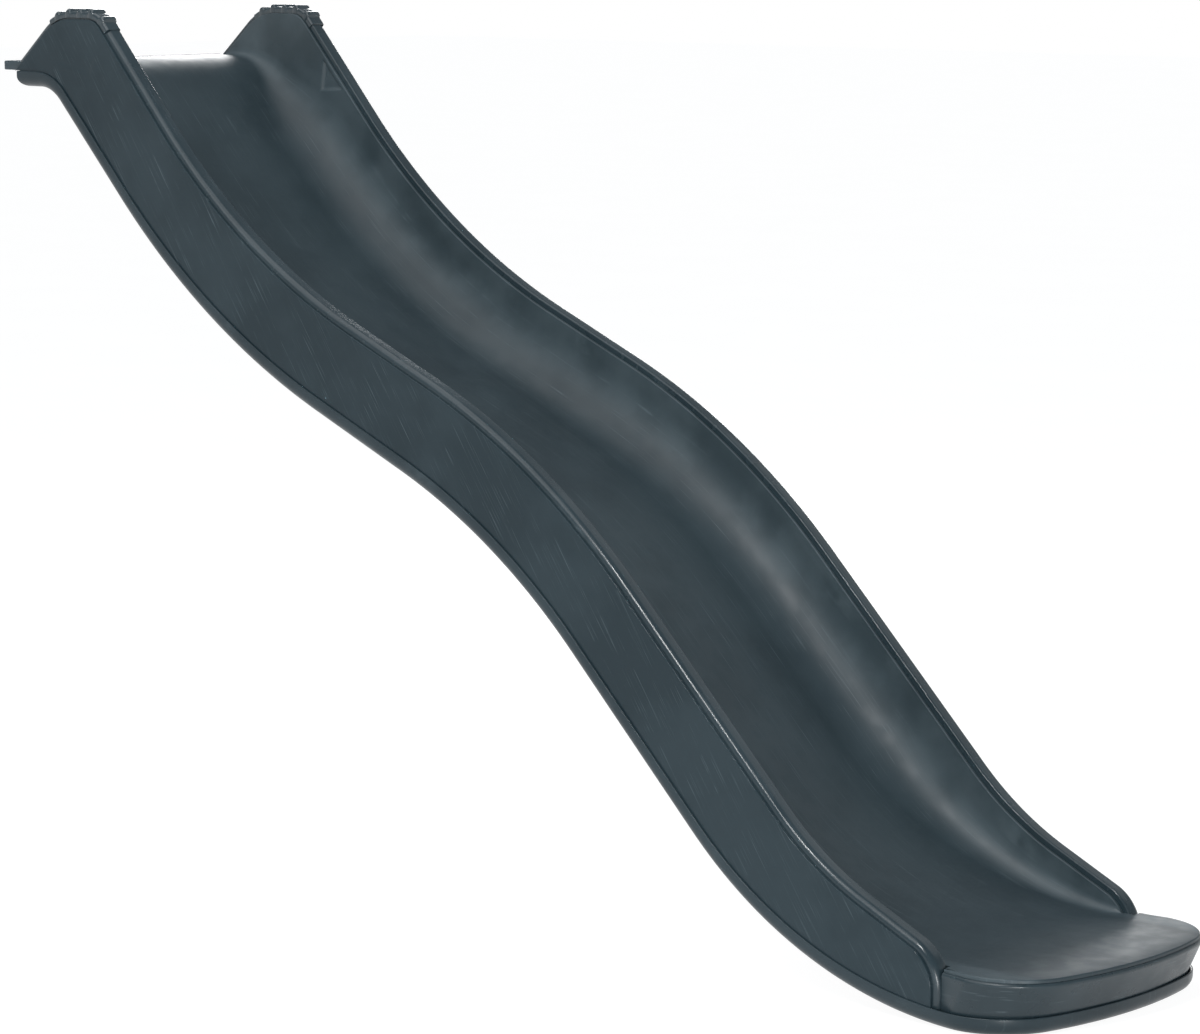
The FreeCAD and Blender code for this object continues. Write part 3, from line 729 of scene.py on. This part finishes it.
# %% Side shells
OUTER_SHOULDER = 10.4
SHELL_ROUND = 1.5
SHELL_ROWS = 60
EAR_SINK = [(87.0, 16.0), (206.0, 27.0), (192.0, -7.0)]
EAR_SINK_DEPTH, EAR_SINK_SOFT = 0.5, 7.0
SHELL_EDGE = rounded(lift(RIM_LINE, -OUTER_SHOULDER))
SHELL_EDGE_CELLS, SHELL_FINE_TO, SHELL_FAN = 5, 330.0, 160.0
SHELL_FROM_X, SHELL_OVER_BASE_FROM, EARS_BEFORE = 10.5, 22.7, 260.0
FOOT_MARGIN = 0.5


def shell_stations():
    """Distances along the shell's upper edge, from where it leaves the flange to its foot."""
    total = length_of(SHELL_EDGE)
    first = next(d for d in spread(0, 200, 0.5) if place(SHELL_EDGE, d)[0].x > SHELL_FROM_X)
    for last in spread(total - 200, total, 0.5):
        spot = place(SHELL_EDGE, last)[0]
        if spot.z < level_at(spot.x, INSIDE_BASE) + FOOT_MARGIN:
            break
    stations = spread(first, SHELL_FINE_TO, FINE_STEP)
    stations += spread(SHELL_FINE_TO + 6, last - SHELL_FAN, COARSE_STEP)
    return stations + spread(last - SHELL_FAN + 3, last, FINE_STEP)


def shell_rings():
    """Rings down the wall; at the front their feet crowd together while their tops turn down."""
    stations = shell_stations()
    fan_start = stations[-1] - SHELL_FAN
    fan_x = place(SHELL_EDGE, fan_start)[0].x
    front_x = place(SHELL_EDGE, stations[-1])[0].x
    rings = []
    for d in stations:
        top, angle = place(SHELL_EDGE, d)
        foot_x = top.x
        if d > fan_start:
            foot_x = fan_x + (front_x - fan_x) * (d - fan_start) / (stations[-1] - fan_start)
        foot_z = level_at(foot_x, INSIDE_BASE) if foot_x > SHELL_OVER_BASE_FROM else 0
        foot = Vector((foot_x, 0, foot_z))
        down = -upward(angle)
        below = top + down * SHELL_ROUND
        outer = [below.lerp(foot, 1 - i / SHELL_ROWS) for i in range(SHELL_ROWS + 1)]
        ring = [point + Vector((0, HALF_BODY, 0)) for point in outer]
        for a in quarter(SHELL_EDGE_CELLS):
            y = HALF_BODY - SHELL_ROUND * (1 - math.cos(a))
            ring.append(top + down * SHELL_ROUND * (1 - math.sin(a)) + Vector((0, y, 0)))
        ring += [point + Vector((0, SHELL_INNER, 0)) for point in (top, foot)]
        rings.append(ring + ring[:1])
    return rings


print("a side shell has", len(shell_rings()), "rings")

# %% [markdown]
# The ear's triangle is pressed in last, by half a millimetre with a soft edge, because it only
# shows as a faint change in the reflection.

# %% Press in the ears' triangles
def make_side_shells():
    bm = skin(shell_rings())
    sunk = triangle_mask(EAR_SINK, EAR_SINK_SOFT)
    for vert in bm.verts:
        if vert.co.y > HALF_BODY - WELD and vert.co.x < EARS_BEFORE:
            vert.co.y -= EAR_SINK_DEPTH * sunk(vert.co.x, vert.co.z)
    return mirrored_piece(bm, "side_shell_skin", "side_shell")


side_shells = make_side_shells()

# %% [markdown]
# ## The base shell
# The underside is a long shallow tray. It is drawn as loops in plan: out from the middle, round
# the lower edge, up the turned-up band, over its lip and back inside. Each loop follows the
# tray's outline with its round nose, and all of them are bent over the underside's curve.

# %% Base shell
PLATFORM_FACE = 19.0
BASE_WALL, BAND_WALL, BAND_HEIGHT, BASE_ROUND, LIP_ROUND = 4.0, 3.5, 24.0, 16.0, 1.4
BAND_HALF = HALF_BODY + FIT_GAP
BASE_END = length_of(BASE)
CENTRE_INSET = 40.0
# Every loop has as many points along its sides, so that all of them join into one skin.
SIDE_CELLS = 330
INWARD_SHARES = (1, 0.8, 0.6, 0.4, 0.2, 0.0)


def tray_loop(growth, height, inward=0.0):
    """A loop of the tray's outline; inward 1 brings it to the tray's middle line."""
    front = front_outline(TIP_X - NOSE_RAKE + FIT_GAP + growth, BAND_HALF + growth, NOSE_CORNER + growth)
    half = [(BASE_END - TIP_X + x, y) for x, y in front]
    rear = PLATFORM_FACE - REAR_X + BAND_WALL - growth
    side = half[-1][0] - rear
    half += [(rear + side * (1 - i / SIDE_CELLS), BAND_HALF + growth) for i in range(1, SIDE_CELLS + 1)]
    middle_from, middle_to = rear + CENTRE_INSET, half[0][0] - CENTRE_INSET
    loop = []
    for s, y in half:
        goal = middle_from + (middle_to - middle_from) * (s - rear) / (half[0][0] - rear)
        loop.append((s + (goal - s) * inward, y * (1 - inward), height))
    return bent(BASE, both_halves(loop))


def base_loops():
    loops = [tray_loop(BAND_WALL - BASE_ROUND, 0, inward) for inward in INWARD_SHARES]
    loops += [tray_loop(BAND_WALL - BASE_ROUND * (1 - math.sin(a)), BASE_ROUND * (1 - math.cos(a)))
              for a in quarter(8)]
    top = BAND_HEIGHT - LIP_ROUND
    loops += [tray_loop(BAND_WALL - LIP_ROUND * (1 - math.cos(a)), top + LIP_ROUND * math.sin(a))
              for a in [0] + quarter(4)]
    loops += [tray_loop(LIP_ROUND * (1 - math.sin(a)), top + LIP_ROUND * math.cos(a))
              for a in [0] + quarter(4)]
    inside = BASE_ROUND - BAND_WALL
    loops += [tray_loop(-inside * (1 - math.cos(a)), BASE_WALL + inside * (1 - math.sin(a)))
              for a in [0] + quarter(6)]
    loops += [tray_loop(-inside, BASE_WALL, inward) for inward in (0.5, 1)]
    return loops


base = finished(skin(base_loops()), "base_shell_skin", ["base_shell"])

# %% [markdown]
# ## The nose shell
# The wall round the run-out leans inwards below its brim. Its section is carried round the
# tongue's outline: a plain foot inside the base, the leaning wall, a rounded shoulder, and the
# ledge under the plate.

# %% Nose shell
NOSE_SHOULDER, SHELL_WALL, NOSE_LEDGE = 5.0, 4.5, 16.0
BRIM_Z = NOSE_TOP - BED_WALL
BAND_Z = GROUND + BAND_HEIGHT
FOOT_Z = GROUND + FOOT_HEIGHT


def nose_section():
    """Growth, height and rake of each point of the wall's section."""
    section = [(0, FOOT_Z, NOSE_RAKE), (0, BAND_Z, NOSE_RAKE)]
    lean = math.atan2(NOSE_RAKE, BRIM_Z - BAND_Z)
    setback = NOSE_SHOULDER / math.tan((math.radians(90) - lean) / 2) - NOSE_SHOULDER
    for angle in (-lean, -lean / 2):
        z = BRIM_Z - NOSE_SHOULDER * (1 - math.sin(angle))
        section.append((0, z, setback + NOSE_SHOULDER * (1 - math.cos(angle))))
    for a in [0] + quarter(8):
        z = BRIM_Z - NOSE_SHOULDER * (1 - math.sin(a))
        section.append((-NOSE_SHOULDER * (1 - math.cos(a)), z, setback))
    section += [(-NOSE_LEDGE, BRIM_Z, 0), (-NOSE_LEDGE, BRIM_Z - BED_WALL, 0)]
    section += [(-NOSE_SHOULDER - SHELL_WALL, BRIM_Z - BED_WALL, 0)]
    section += [(-SHELL_WALL, BAND_Z, NOSE_RAKE), (-SHELL_WALL, FOOT_Z, NOSE_RAKE)]
    return section


def nose_rings():
    outlines = []
    for growth, z, rake in nose_section():
        half = nose_outline(growth, rake)
        outline = [(x, -y) for x, y in half[::-1]] + half[1:]
        outlines.append([Vector((x, y, z)) for x, y in outline])
    rings = [list(ring) for ring in zip(*outlines)]
    return [ring + ring[:1] for ring in rings]


nose = finished(skin(nose_rings()), "nose_shell_skin", ["nose_shell"])

# %% [markdown]
# ## The ear grips
# Each grip is a thin saddle over the crown of an ear. Five round ribs run across it, so its
# section grows and shrinks along the rim. The ribs swell a little at the sides as well.

# %% Ear grips
GRIP_WALL, GRIP_SKIRT, GRIP_LENGTH = 1.8, 8.0, 150.0
RIB_COUNT, RIB_PITCH, RIB_RADIUS, RIB_RISE = 5, 27.0, 6.5, 4.0
GRIP_END_ROUND, GRIP_STEP = 1.2, 0.8
GRIP_INNER_ROUND, GRIP_OUTER_ROUND, GRIP_LINING_ROUND = 4.5, 5.8, 4.0
SIDE_RISE_SHARE, GRIP_SIDE_MOST = 0.16, 2.4
CROWN_MIDDLE = RIM[0][2] + RIM[1][2] + RIM[2][2] / 2


def rib_rise(from_middle):
    """How far the grip rises over its plain saddle at a distance from its middle."""
    nearest = max(-(RIB_COUNT // 2), min(RIB_COUNT // 2, round(from_middle / RIB_PITCH)))
    off = from_middle - nearest * RIB_PITCH
    circle = math.sqrt(max(0.0, RIB_RADIUS ** 2 - off ** 2)) - (RIB_RADIUS - RIB_RISE)
    return max(0.0, circle)


def grip_rings():
    rings = []
    for along in spread(-GRIP_LENGTH / 2, GRIP_LENGTH / 2, GRIP_STEP):
        rise = rib_rise(along)
        from_end = GRIP_LENGTH / 2 - abs(along)
        thin = max(0.0, GRIP_END_ROUND - from_end)
        grow = GRIP_WALL + rise - GRIP_END_ROUND + math.sqrt(GRIP_END_ROUND ** 2 - thin ** 2)
        side = GRIP_WALL - GRIP_END_ROUND + math.sqrt(GRIP_END_ROUND ** 2 - thin ** 2)
        side = min(side + rise * SIDE_RISE_SHARE, GRIP_SIDE_MOST)
        outline = rounded_cap(RAIL_INNER - side, RAIL_OUTER + side, grow, GRIP_INNER_ROUND,
                              GRIP_OUTER_ROUND, GRIP_SKIRT)
        inner = rounded_cap(RAIL_INNER, RAIL_OUTER, 0, RAIL_ROUND, GRIP_LINING_ROUND, GRIP_SKIRT)
        rings.append(bent(RIM, closed(outline + inner[::-1], CROWN_MIDDLE + along)))
    return rings


grips = mirrored_piece(skin(grip_rings()), "ear_grip_skin", "ear_grip")

# %% [markdown]
# ## Materials
# The slide is one material throughout: polyethylene, blow-moulded in a blasted tool. That gives a
# dark satin skin whose pigment clouds a little, whose gloss wanders, and whose flat walls sink
# slightly as they cool, so that reflections waver. Rubbed places are lighter and duller.

# %% Helpers for shader nodes
def linear(code):
    """An sRGB hex colour as the linear colour that shaders take."""
    channels = [int(code[i:i + 2], 16) / 255 for i in (1, 3, 5)]
    values = [c / 12.92 if c <= 0.04045 else ((c + 0.055) / 1.055) ** 2.4 for c in channels]
    return tuple(values) + (1.0,)


def add(tree, kind, inputs=None, **settings):
    """Add a node. An input takes a plain value or another node's output."""
    node = tree.nodes.new(kind)
    for name, value in settings.items():
        setattr(node, name, value)
    for name, value in (inputs or {}).items():
        if isinstance(value, bpy.types.NodeSocket):
            tree.links.new(value, node.inputs[name])
        else:
            node.inputs[name].default_value = value
    return node


print("mid grey in linear light:", [round(value, 3) for value in linear("#808080")])

# %% [markdown]
# A finish is built from a few patterns. Each is a noise on Object coordinates, so that it stays
# with the piece, and its scale comes from a size in millimetres on the real surface.

# %% Helpers for patterns and surfaces
def grain(tree, size, stretch=(1, 1, 1), turn=0.0, detail=3.0, low=0.35, high=0.65):
    """A noise pattern with features of a size in millimetres, from 0 to 1."""
    place_node = add(tree, "ShaderNodeTexCoord")
    turned = add(tree, "ShaderNodeMapping",
                 {"Vector": place_node.outputs["Object"], "Rotation": (0, turn, 0)})
    scale = [1 / (size * MM * axis) for axis in stretch]
    sized = add(tree, "ShaderNodeMapping", {"Vector": turned.outputs["Vector"], "Scale": scale})
    noise = add(tree, "ShaderNodeTexNoise",
                {"Vector": sized.outputs["Vector"], "Scale": 1.0, "Detail": detail})
    ranged = add(tree, "ShaderNodeMapRange",
                 {"Value": noise.outputs["Fac"], "From Min": low, "From Max": high},
                 interpolation_type="SMOOTHSTEP")
    return ranged.outputs["Result"]


def beyond(tree, start, end):
    """From 0 to 1 as the distance from the slide's middle plane grows, in millimetres."""
    place_node = add(tree, "ShaderNodeTexCoord")
    axes = add(tree, "ShaderNodeSeparateXYZ", {"Vector": place_node.outputs["Object"]})
    away = add(tree, "ShaderNodeMath", {0: axes.outputs["Y"]}, operation="ABSOLUTE").outputs[0]
    ranged = add(tree, "ShaderNodeMapRange",
                 {"Value": away, "From Min": start * MM, "From Max": end * MM},
                 interpolation_type="SMOOTHSTEP")
    return ranged.outputs["Result"]


def product(tree, first, second):
    return add(tree, "ShaderNodeMath", {0: first, 1: second}, operation="MULTIPLY").outputs[0]


def between(tree, share, first, second):
    """Plain numbers, chosen between two by a pattern."""
    ranged = add(tree, "ShaderNodeMapRange", {"Value": share, "To Min": first, "To Max": second})
    return ranged.outputs["Result"]


def blend(tree, share, first, second):
    """A colour between two others; each may be a colour or an output."""
    mix = add(tree, "ShaderNodeMix", data_type="RGBA")
    for socket, value in zip((mix.inputs[0], mix.inputs[6], mix.inputs[7]), (share, first, second)):
        if isinstance(value, bpy.types.NodeSocket):
            tree.links.new(value, socket)
        else:
            socket.default_value = value
    return mix.outputs[2]


def new_material(name):
    material = bpy.data.materials.new(name)
    material.use_nodes = True
    material.node_tree.nodes.clear()
    return material, material.node_tree


def bumped(tree, height, depth, normal=None):
    """Raise a surface by a pattern, by a depth in millimetres."""
    inputs = {"Height": height, "Distance": depth * MM, "Strength": 1.0}
    if normal:
        inputs["Normal"] = normal
    return add(tree, "ShaderNodeBump", inputs).outputs["Normal"]


def surface(tree, inputs):
    shader = add(tree, "ShaderNodeBsdfPrincipled", inputs)
    add(tree, "ShaderNodeOutputMaterial", {"Surface": shader.outputs["BSDF"]})


print("node helpers ready; sizes are in units of", MM, "m")

# %% [markdown]
# One recipe makes every plastic here, and each piece gets its own gloss and wear. Two noises
# cloud the pigment and the gloss, a stretched one draws fine rub marks, and two bumps give the
# slight sink of a cooled wall and the peel of a blasted tool. Rub marks on the real slide are
# finer; they are drawn as coarse as they need to show. The bed's inner walls are also painted
# paler than its floor: painted light that stands in for soft light the studio lamps don't give them.

# %% The moulded plastic
# The pale rubbed colour serves both real wear and the painted light on the bed's inner walls.
SLATE, SLATE_LIGHT, SLATE_WORN_AND_LIT = "#233036", "#2b383e", "#5a676d"
POLYETHYLENE_IOR = 1.5
# Feature sizes in millimetres.
CLOUD_SIZE, PATCH_SIZE, PEEL_SIZE, SINK_SIZE, RUB_SIZE = 150.0, 32.0, 3.5, 120.0, 1.6
# Painted light on the bed's inner walls: pale patches from 168 mm out from the middle, standing in for soft
# light.
PAINTED_LIGHT_SIZE, PAINTED_LIGHT_FROM, PAINTED_LIGHT_LEAST = 90.0, (168.0, 192.0), 0.4
RUBS_LOW, RUBS_HIGH = 0.56, 0.78


def moulded_plastic(name, gloss, rub_stretch, rub_turn=0.0, rubbed=0.5, sink=0.35, peel=0.02,
                    sheen=0.4, painted_wall_light=0.0):
    """Satin polyethylene: gloss gives the least and most roughness, rubbed the share of wear."""
    material, tree = new_material(name)
    clouds = grain(tree, CLOUD_SIZE, detail=4.0)
    patches = grain(tree, PATCH_SIZE, detail=5.0)
    pigment = blend(tree, clouds, linear(SLATE), linear(SLATE_LIGHT))
    streaks = grain(tree, RUB_SIZE, rub_stretch, rub_turn, 4.0, RUBS_LOW, RUBS_HIGH)
    worn = product(tree, product(tree, streaks, patches), rubbed)
    colour = blend(tree, worn, pigment, linear(SLATE_WORN_AND_LIT))
    # Painted light: toward the walls the colour is blended to the pale one, standing in for soft light the
    # lamps don't give.
    if painted_wall_light:
        painted_light_mask = grain(tree, PAINTED_LIGHT_SIZE, detail=4.0)
        painted_light_mask = between(tree, painted_light_mask, PAINTED_LIGHT_LEAST * painted_wall_light, painted_wall_light)
        painted_light_mask = product(tree, beyond(tree, *PAINTED_LIGHT_FROM), painted_light_mask)
        colour = blend(tree, painted_light_mask, colour, linear(SLATE_WORN_AND_LIT))
    satin = between(tree, patches, gloss[0], gloss[1])
    waver = bumped(tree, grain(tree, SINK_SIZE, detail=1.0, low=0.2, high=0.8), sink)
    fine = bumped(tree, grain(tree, PEEL_SIZE, detail=2.0, low=0.3, high=0.7), peel, waver)
    surface(tree, {"Base Color": colour, "Roughness": satin, "IOR": POLYETHYLENE_IOR, "Normal": fine,
                   "Specular IOR Level": sheen})
    return material


# The sliding surface is polished by use along its length; its streaks follow the slide down.
# The bed's inner walls also get painted light: paler patches that stand in for soft light.
bed_plastic = moulded_plastic("moulded_polyethylene_bed", (0.44, 0.52), (90, 1, 90), rubbed=0.5,
                              painted_wall_light=0.38)
# The outer walls keep the tool's blasted finish, with slanting flow marks and light scuffs.
shell_plastic = moulded_plastic("moulded_polyethylene_shell", (0.21, 0.27), (80, 5, 1), math.radians(-55),
                                rubbed=0.6, sheen=0.18)
# The rail is extruded and bent, so it is glossier and its marks run along it.
rail_plastic = moulded_plastic("extruded_polyethylene_rail", (0.20, 0.28), (60, 1, 60), rubbed=0.35,
                               sink=0.15, peel=0.008)
# The grips are injection-moulded with a crisp, finely grained finish.
grip_plastic = moulded_plastic("moulded_polyethylene_grip", (0.18, 0.26), (8, 8, 8), rubbed=0.7, sink=0.05,
                               sheen=0.6)
# The base shell below is blow-moulded like the outer walls and stands on the ground: it is duller.
base_plastic = moulded_plastic("moulded_polyethylene_base", (0.30, 0.36), (60, 2, 60), rubbed=0.3, sheen=0.3)
# The nose wall is rubbed by shoes as children sit on the run-out.
nose_plastic = moulded_plastic("moulded_polyethylene_nose", (0.26, 0.38), (30, 30, 2), rubbed=0.6)
# The cross ribs are hidden between the skins and keep the dull face of sawn sheet.
rib_plastic = moulded_plastic("sawn_polyethylene_rib", (0.50, 0.62), (3, 80, 3), rubbed=0.8, sink=0.0,
                              peel=0.05)
print("plastics:", sorted(m.name for m in bpy.data.materials if "polyethylene" in m.name))

# %% [markdown]
# The screws are zinc-plated steel, drawn and turned, so fine marks show under the thin plating.
# The marks are a noise stretched along the upright axis, which roughens and bumps the metal.

# %% The steel
ZINC, ZINC_DULL = "#b9bdc0", "#8e9498"
TURNING_PITCH, ZINC_CLOUD = 0.6, 6.0


def brushed_steel(name):
    material, tree = new_material(name)
    marks = grain(tree, TURNING_PITCH, (1, 1, 12), 0.0, 3.0)
    colour = blend(tree, grain(tree, ZINC_CLOUD), linear(ZINC), linear(ZINC_DULL))
    inputs = {"Base Color": colour, "Metallic": 1.0, "Roughness": between(tree, marks, 0.28, 0.42)}
    inputs["Normal"] = bumped(tree, marks, 0.01)
    surface(tree, inputs)
    return material


screw_steel = brushed_steel("zinc_plated_steel")
print("steel:", screw_steel.name)

# %% [markdown]
# ## Dress every piece
# The visible pieces take their slot's plastic. The ribs and screws inside keep their solids from
# the CAD step, which are plain shapes that need no finer mesh.

# %% Give out the materials
def dress(piece, material):
    piece.data.materials.clear()
    piece.data.materials.append(material)


DRESSES = {"bed_plastic": bed_plastic, "shell_plastic": shell_plastic, "rail_plastic": rail_plastic,
           "grip_plastic": grip_plastic, "base_plastic": base_plastic, "nose_plastic": nose_plastic}
SKINS = {"bed_plastic": [bed], "shell_plastic": side_shells, "rail_plastic": rails,
         "grip_plastic": grips, "base_plastic": [base], "nose_plastic": [nose]}
for slot, skins in SKINS.items():
    for piece in skins:
        dress(piece, DRESSES[slot])
for node_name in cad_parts:
    solid = bpy.data.objects.get(node_name)
    if solid is not None and "rib" in node_name:
        dress(solid, rib_plastic)
    elif solid is not None and "screws" in node_name:
        dress(solid, screw_steel)
print("pieces dressed:", sum(len(skins) for skins in SKINS.values()))

# %% [markdown]
# ## Floor, world and lights
# The slide stands on a plain white floor, which keeps its soft shadow. To the camera and in
# reflections the floor glows a little, so that it runs into the white background.

# %% Floor
FLOOR_WHITE, FLOOR_PALE, FLOOR_CLOUD = "#e8eaeb", "#f0f1f2", 400.0
FLOOR_SIZE, FLOOR_GAP = 30.0, 0.5
FLOOR_GLOW, FLOOR_GLOW_STRENGTH = 0.8, 1.17


def make_floor():
    bm = bmesh.new()
    bmesh.ops.create_grid(bm, x_segments=1, y_segments=1, size=FLOOR_SIZE)
    bmesh.ops.translate(bm, vec=(0, 0, (GROUND - FLOOR_GAP) * MM), verts=bm.verts)
    mesh = bpy.data.meshes.new("floor")
    bm.to_mesh(mesh)
    bm.free()
    floor = bpy.data.objects.new("floor", mesh)
    scene.collection.objects.link(floor)
    material, tree = new_material("painted_floor")
    path = add(tree, "ShaderNodeLightPath").outputs
    seen = add(tree, "ShaderNodeMath", {0: path["Is Camera Ray"], 1: path["Is Glossy Ray"]},
               operation="MAXIMUM")
    tint = blend(tree, grain(tree, FLOOR_CLOUD), linear(FLOOR_WHITE), linear(FLOOR_PALE))
    matt = add(tree, "ShaderNodeBsdfDiffuse", {"Color": tint}).outputs[0]
    glow = add(tree, "ShaderNodeEmission", {"Strength": FLOOR_GLOW_STRENGTH}).outputs[0]
    half = add(tree, "ShaderNodeMixShader", {0: FLOOR_GLOW, 1: matt, 2: glow}).outputs[0]
    mixed = add(tree, "ShaderNodeMixShader", {0: seen.outputs[0], 1: matt, 2: half}).outputs[0]
    add(tree, "ShaderNodeOutputMaterial", {"Surface": mixed})
    floor.data.materials.append(material)


make_floor()
print("floor at", GROUND - FLOOR_GAP, "mm")

# %% [markdown]
# The world is white to the camera and a soft blue-grey light to the slide. In the slide's gloss
# it has a white horizon that fades upwards, as the walls of a bright room would give.

# %% World
WORLD_TINT, WORLD_STRENGTH = "#dfe8ee", 0.42
HORIZON_LOW, HORIZON_HIGH = 0.05, 0.4


def make_world():
    world = bpy.data.worlds.new("studio")
    world.use_nodes = True
    tree = world.node_tree
    tree.nodes.clear()
    path = add(tree, "ShaderNodeLightPath").outputs
    white = add(tree, "ShaderNodeBackground", {"Color": (1, 1, 1, 1), "Strength": 1.0}).outputs[0]
    soft = add(tree, "ShaderNodeBackground",
               {"Color": linear(WORLD_TINT), "Strength": WORLD_STRENGTH}).outputs[0]
    facing = add(tree, "ShaderNodeTexCoord").outputs["Generated"]
    rise = add(tree, "ShaderNodeSeparateXYZ", {"Vector": facing}).outputs["Z"]
    low = add(tree, "ShaderNodeMapRange",
              {"Value": rise, "From Min": HORIZON_LOW, "From Max": HORIZON_HIGH, "To Min": 1, "To Max": 0})
    mirrored = product(tree, path["Is Glossy Ray"], low.outputs[0])
    shown = add(tree, "ShaderNodeMath", {0: path["Is Camera Ray"], 1: mirrored}, operation="MAXIMUM")
    mixed = add(tree, "ShaderNodeMixShader", {0: shown.outputs[0], 1: soft, 2: white}).outputs[0]
    add(tree, "ShaderNodeOutputWorld", {"Surface": mixed})
    scene.world = world


make_world()
print("world:", scene.world.name)

# %% [markdown]
# A wide softbox overhead draws the long highlight in the cove, and a large one fills the near
# side. Two lamps behind put a sheen on the entrance and the run-out, and two narrow strips pick
# out the near rail's edge and the lip at its foot. A lamp takes its place, size and watts.

# %% Lights
SLIDE_MIDDLE = Vector((1.0, 0.0, -0.6))
LOWER_CHUTE = Vector((1.4, 0.0, -0.85))
RUN_OUT = Vector((1.95, 0.0, -1.12))
ENTRANCE = Vector((0.0, 0.0, 0.0))
LOWER_NEAR_RAIL = Vector((1.3, -0.23, -0.7))
NEAR_LIP = Vector((1.87, -0.23, -1.15))


def softbox(name, at, size, watts, aim=SLIDE_MIDDLE):
    light = bpy.data.lights.new(name, "AREA")
    light.shape = "RECTANGLE"
    light.size, light.size_y = size
    light.energy = watts
    lamp = bpy.data.objects.new(name, light)
    scene.collection.objects.link(lamp)
    lamp.location = at
    lamp.rotation_mode = "QUATERNION"
    lamp.rotation_quaternion = (aim - Vector(at)).to_track_quat("-Z", "Y")


softbox("overhead", (0.0, -0.9, 3.2), (4.2, 3.0), 60)
softbox("near_side", (0.8, -3.4, 2.6), (3.5, 1.6), 33)
softbox("far_side", (1.9, 2.2, 1.3), (2.4, 1.8), 6, LOWER_CHUTE)
softbox("behind_nose", (-0.8, 2.9, -0.45), (1.4, 0.6), 22, RUN_OUT)
softbox("behind_entrance", (-2.5, 2.9, 1.0), (1.4, 2.0), 85, ENTRANCE)
softbox("edge_strip", (2.1, -2.2, 1.7), (0.07, 0.9), 45, LOWER_NEAR_RAIL)
softbox("lip_strip", (4.0, -2.3, -0.95), (0.05, 0.8), 50, NEAR_LIP)
print("lamps:", len(bpy.data.lights))

# %% [markdown]
# ## Finish
# The pieces stay inside the box of the solids that they stand for. The colours are shown with the Standard
# view transform.
# The pieces stay inside the box of the solids that they stand for.


scene.view_settings.view_transform = "Standard"
